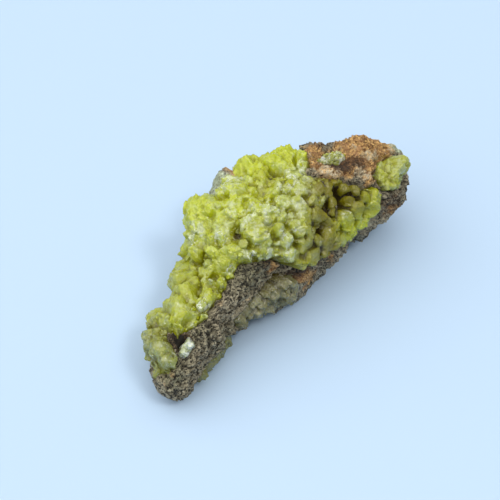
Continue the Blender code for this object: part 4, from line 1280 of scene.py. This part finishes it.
# pale and brown stains, the brown one nearly black where it is strongest
pale_mask = (pale * 1.2 + cloud.swing(1.6) + grain.swing(0.5)).above(0.45, 0.3)
colour = stone.mix(pale_mask * (0.30 + 0.65 * fleck.above(0.42, 0.16)), colour, WHITISH)
brown_mask = (brown + speckle.swing(3.6) + crumb.swing(2.4)).above(0.36, 0.4)
colour = stone.mix(brown_mask * 0.92, colour, BROWN)
black_mask = (brown + speckle.swing(2.6) + crumb.swing(1.2)).above(0.95, 0.30)
colour = stone.mix(black_mask, colour, PORE_SHADE_AND_BLACK_STAIN)

# painted shade in the pores, in the seams between grains, and in pits too small for the mesh
spared = 0.6 * quartz + 0.3 * rust_mask + 0.6 * pale
pits = (stone.noise(0.24, 3, 0.6) + crumb.swing(0.25)).above(0.54, 0.03) * (1 - spared).clamped()
hole_and_seam_shade = (pore * 0.65 * (1 - 0.6 * pale) + (1 - seam) * 0.2 + pits * 0.9).clamped()
colour = stone.mix(hole_and_seam_shade, colour, stone.mix(rust_mask, PORE_SHADE_AND_BLACK_STAIN, RUSTY_PORE_SHADE))
stone.feed("Base Color", colour)
stone.feed("Roughness", 0.62 + 0.3 * speckle)
stone.bump(speckle * 1.4 + stone.noise(0.7, 3, 0.6) - pits, 0.14)
rock.data.materials.append(stone.material)
print(len(stone.tree.nodes), "nodes in the rock finish")

# %% [markdown]
# ### Pyromorphite
# The crystals are translucent, with a resinous gloss. Light enters and comes out yellow, which
# subsurface scattering and some transmission give. Their colour follows the tones on the
# vertices, with painted shade, deeper and darker, in the folds, at the foot of the free barrels
# and in the clefts, and painted highlights as whitish flecks on the rims and small white glint
# spots; frosted ones are paler and rougher. A thin clear coat, weaker on the olive and the yellow
# ones, gives the sharp glints, and a fine sugary bump breaks them up.

# %% Colours of the crystals
# painted shade: the colours of the olive folds and of the clefts
OLIVE_FOLD_SHADE, CLEFT_SHADE_COLOUR = (0.045, 0.028, 0.004), (0.092, 0.066, 0.004)
FROST, DULL_FROST, SANDY_FROST = (0.92, 0.97, 0.84), (0.30, 0.27, 0.16), (0.62, 0.60, 0.42)
# a crystal's colour where it is yellow, pale, olive, in painted shade deep in a fold, and frosted;
# its scatter, how rough its gloss is, and how clear it is
CRYSTALS = {
    "yellow_green_crystal": ((0.69, 0.765, 0.010), (0.59, 0.67, 0.145), (0.27, 0.237, 0.003),
                             (0.22, 0.19, 0.002), FROST, 0.4, 0.06, 0.35),
    "pale_green_crystal": ((0.57, 0.60, 0.035), (0.44, 0.48, 0.10), (0.20, 0.21, 0.02),
                           (0.15, 0.12, 0.008), FROST, 0.5, 0.12, 0.3),
    # the ledge's own beige, darkened as painted shade for the hollow under the rock's edge
    "shaded_beige_crystal": ((0.29, 0.265, 0.055), (0.40, 0.375, 0.17), (0.08, 0.07, 0.02),
                      (0.06, 0.045, 0.015), SANDY_FROST, 0.3, 0.2, 0.3),
    "glassy_white_crystal": ((0.62, 0.70, 0.30), (0.70, 0.77, 0.50), (0.4, 0.42, 0.3),
                             (0.3, 0.28, 0.15), FROST, 0.4, 0.05, 0.3),
    "dull_green_crystal": ((0.40, 0.40, 0.03), (0.38, 0.37, 0.10), (0.13, 0.12, 0.02),
                           (0.07, 0.05, 0.01), DULL_FROST, 0.3, 0.15, 0.3),
}
print(", ".join(CRYSTALS))

# %% Crystal finishes
def crystal_finish(name, yellow, pale, olive, deep, frosted, scatter, gloss, clear):
    """Three body colours by tone, whitish where frosted and with painted highlights on the rims,
    painted shade deeper in the hollows and dark in the clefts; rougher where frosted; the coat
    thinner where olive or yellow."""
    stuff = Finish(name, IOR=1.72, Specular_IOR_Level=0.3, Coat_Roughness=0.04, Coat_IOR=1.6,
                   Subsurface_Weight=scatter, Subsurface_Scale=0.0006,
                   Subsurface_Radius=(1.0, 1.0, 0.15), Transmission_Weight=clear)
    hollow, own = stuff.attribute("hollow"), stuff.attribute("own")
    mottle = stuff.noise(1.7, 4, 0.65) - 0.5
    sugar = stuff.noise(0.30, 4, 0.75)
    olive_share = (stuff.attribute("olive") * 1.25 + mottle * 0.6).clamped()
    tint = stuff.attribute("yellow") * 1.1 + mottle * 3.2 + own.swing(2.2) + hollow * 0.4
    tint = tint.clamped()
    colour = stuff.mix(tint, pale, yellow)
    colour = stuff.mix(olive_share, colour, olive)

    # frost in patches, and white flecks on the rims in bands: partly frost, partly painted
    # highlights; the frost numbers bring the painted glint spots too
    patch = stuff.noise(0.9, 3, 0.7).above(0.46, 0.14)
    band = stuff.noise(2.4, 3, 0.65).above(0.50, 0.10)
    rims = 0.1 + 0.7 * stuff.attribute("crest") + 0.4 * own
    rim_frost_and_highlights = sugar.above(0.54, 0.07) * rims * (0.1 + 1.0 * band) * (1 - 0.8 * tint)
    frost = stuff.attribute("frost") * (0.1 + 1.3 * patch) + rim_frost_and_highlights * 0.55 - hollow * 0.5
    frost = (frost * (1 - 0.9 * olive_share)).clamped()
    colour = stuff.mix(frost * 0.85, colour, frosted)

    # painted shade: the deep colour in the folds and the dark clefts
    shade = (hollow * (1.2 + 0.9 * olive_share) + mottle * 0.5).clamped()
    shade = shade * (0.45 + 0.55 * olive_share)
    colour = stuff.mix(shade, colour, stuff.mix(olive_share, deep, OLIVE_FOLD_SHADE))
    # painted shade: the dark clefts
    cleft = (stuff.attribute("cleft") * 1.3 + sugar.swing(0.8)).clamped()
    stuff.feed("Base Color", stuff.mix(cleft, colour, CLEFT_SHADE_COLOUR))
    stuff.feed("Roughness", (gloss + 0.25 * frost + 0.12 * own).clamped())
    stuff.feed("Coat Weight", (0.45 - 0.36 * olive_share - 0.20 * tint).clamped())
    stuff.bump(sugar + stuff.cells(0.30) * 1.2, 0.085)
    return stuff.material


materials = {name: crystal_finish(name, *look) for name, look in CRYSTALS.items()}
print(len(materials), "crystal finishes")

# %% Finish the crusts
# the crystal and the material slot of each crust
LOOKS = {
    "main_crust": ("yellow_green_crystal", "pyromorphite"),
    "tip_cluster": ("pale_green_crystal", "pale_pyromorphite"),
    "end_cluster": ("pale_green_crystal", "pale_pyromorphite"),
    "underside_crust": ("dull_green_crystal", "pale_pyromorphite"),
    "ledge_crust": ("shaded_beige_crystal", "beige_pyromorphite"),
    "saddle_cluster": ("pale_green_crystal", "beige_pyromorphite"),
    "cavity_crystals": ("glassy_white_crystal", "white_crystal"),
}
for name, (crystal, slot) in LOOKS.items():
    for piece in crust_pieces[name]:
        piece.data.materials.append(materials[crystal])
        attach(piece, "root")
print("finishes on", len(LOOKS), "crusts, in", 2 * len(LOOKS), "meshes")

# %% [markdown]
# ## Table, light and camera
# The specimen lies on a pale blue sheet. One large soft light stands high up on the camera's
# left and gives the flat even light of a light box. A small lamp on the front right makes the
# glints, and a weak broad one on the right lifts the shadow under the belly. A single lamp would
# be simpler, but its shadow would be hard and the belly black.

# %% Pale sheet
SHEET_HALF, SHEET_DROP, SHEET_THICKNESS = 900.0, 0.02, 4.0
corners = np.array([(-1, -1, 0), (1, -1, 0), (1, 1, 0), (-1, 1, 0)]) * SHEET_HALF
upper = corners - [0, 0, SHEET_DROP]
sheet = make_piece(
    "sheet", np.vstack([upper, upper - [0, 0, SHEET_THICKNESS]]),
    np.array([(0, 1, 2, 3), (7, 6, 5, 4), (0, 4, 5, 1), (1, 5, 6, 2), (2, 6, 7, 3), (3, 7, 4, 0)]),
    np.empty((0, 3), int), soft=False)
paper = Finish("pale_sheet", Roughness=0.8, Specular_IOR_Level=0.2,
               Base_Color=(0.455, 0.585, 0.735, 1.0))
sheet.data.materials.append(paper.material)

# %% Lights
def direction(turn, tilt):
    """The way to a turn from +X and a tilt above the table, in degrees, one long."""
    turn, tilt = radians(turn), radians(tilt)
    return np.array([cos(tilt) * cos(turn), cos(tilt) * sin(turn), sin(tilt)])


def looking(back, spot):
    """A matrix at a spot whose -Z looks away from `back` and whose X stays level."""
    side = np.cross([0, 0, 1], back)
    side = side / np.linalg.norm(side)
    up = np.cross(back, side)
    return Matrix([[side[k], up[k], back[k], spot[k]] for k in range(3)] + [[0, 0, 0, 1]])


def soft_light(name, turn, tilt, distance, width, power, colour):
    """A square area light at a turn and a tilt, aimed at the specimen."""
    data = bpy.data.lights.new(name, "AREA")
    data.size, data.energy, data.color = width, power, colour
    lamp = bpy.data.objects.new(name, data)
    back = direction(turn, tilt)
    lamp.matrix_world = looking(back, back * distance + LIT_POINT)
    scene.collection.objects.link(lamp)


LIT_POINT = np.array([0, 0, 0.006])
# turn from +X and tilt (degrees), distance and width (m), power (W), colour
LIGHTS = {
    "ceiling": (132, 68, 0.70, 1.5, 11.9, (0.99, 0.985, 0.98)),
    "window": (268, 60, 0.80, 0.20, 2.0, (1.0, 0.99, 0.96)),
    "room": (-30, 34, 0.80, 1.2, 0.8, (0.97, 0.99, 1.0)),
}
for name, light in LIGHTS.items():
    soft_light(name, *light)
world = bpy.data.worlds.new("soft_room")
scene.world = world
world.use_nodes = True
sky = world.node_tree.nodes["Background"].inputs
sky["Color"].default_value, sky["Strength"].default_value = (0.80, 0.90, 1.0, 1.0), 0.24
print(len(LIGHTS), "lights and a weak blue sky")

# %% Camera
CAMERA_TURN, CAMERA_TILT, CAMERA_DISTANCE = 216.0, 50.0, 0.150
AIM = np.array([-0.110, 2.275, 5.476]) * MM
lens = bpy.data.cameras.new("camera")
lens.lens, lens.sensor_width = 85.0, 36.0
lens.clip_start, lens.clip_end = 0.005, 10.0
camera = bpy.data.objects.new("camera", lens)
back = direction(CAMERA_TURN, CAMERA_TILT)
camera.matrix_world = looking(back, AIM + back * CAMERA_DISTANCE)
scene.collection.objects.link(camera)
scene.camera = camera
scene.view_settings.view_transform = "Standard"
print("camera at", [round(float(v), 3) for v in camera.matrix_world.translation])
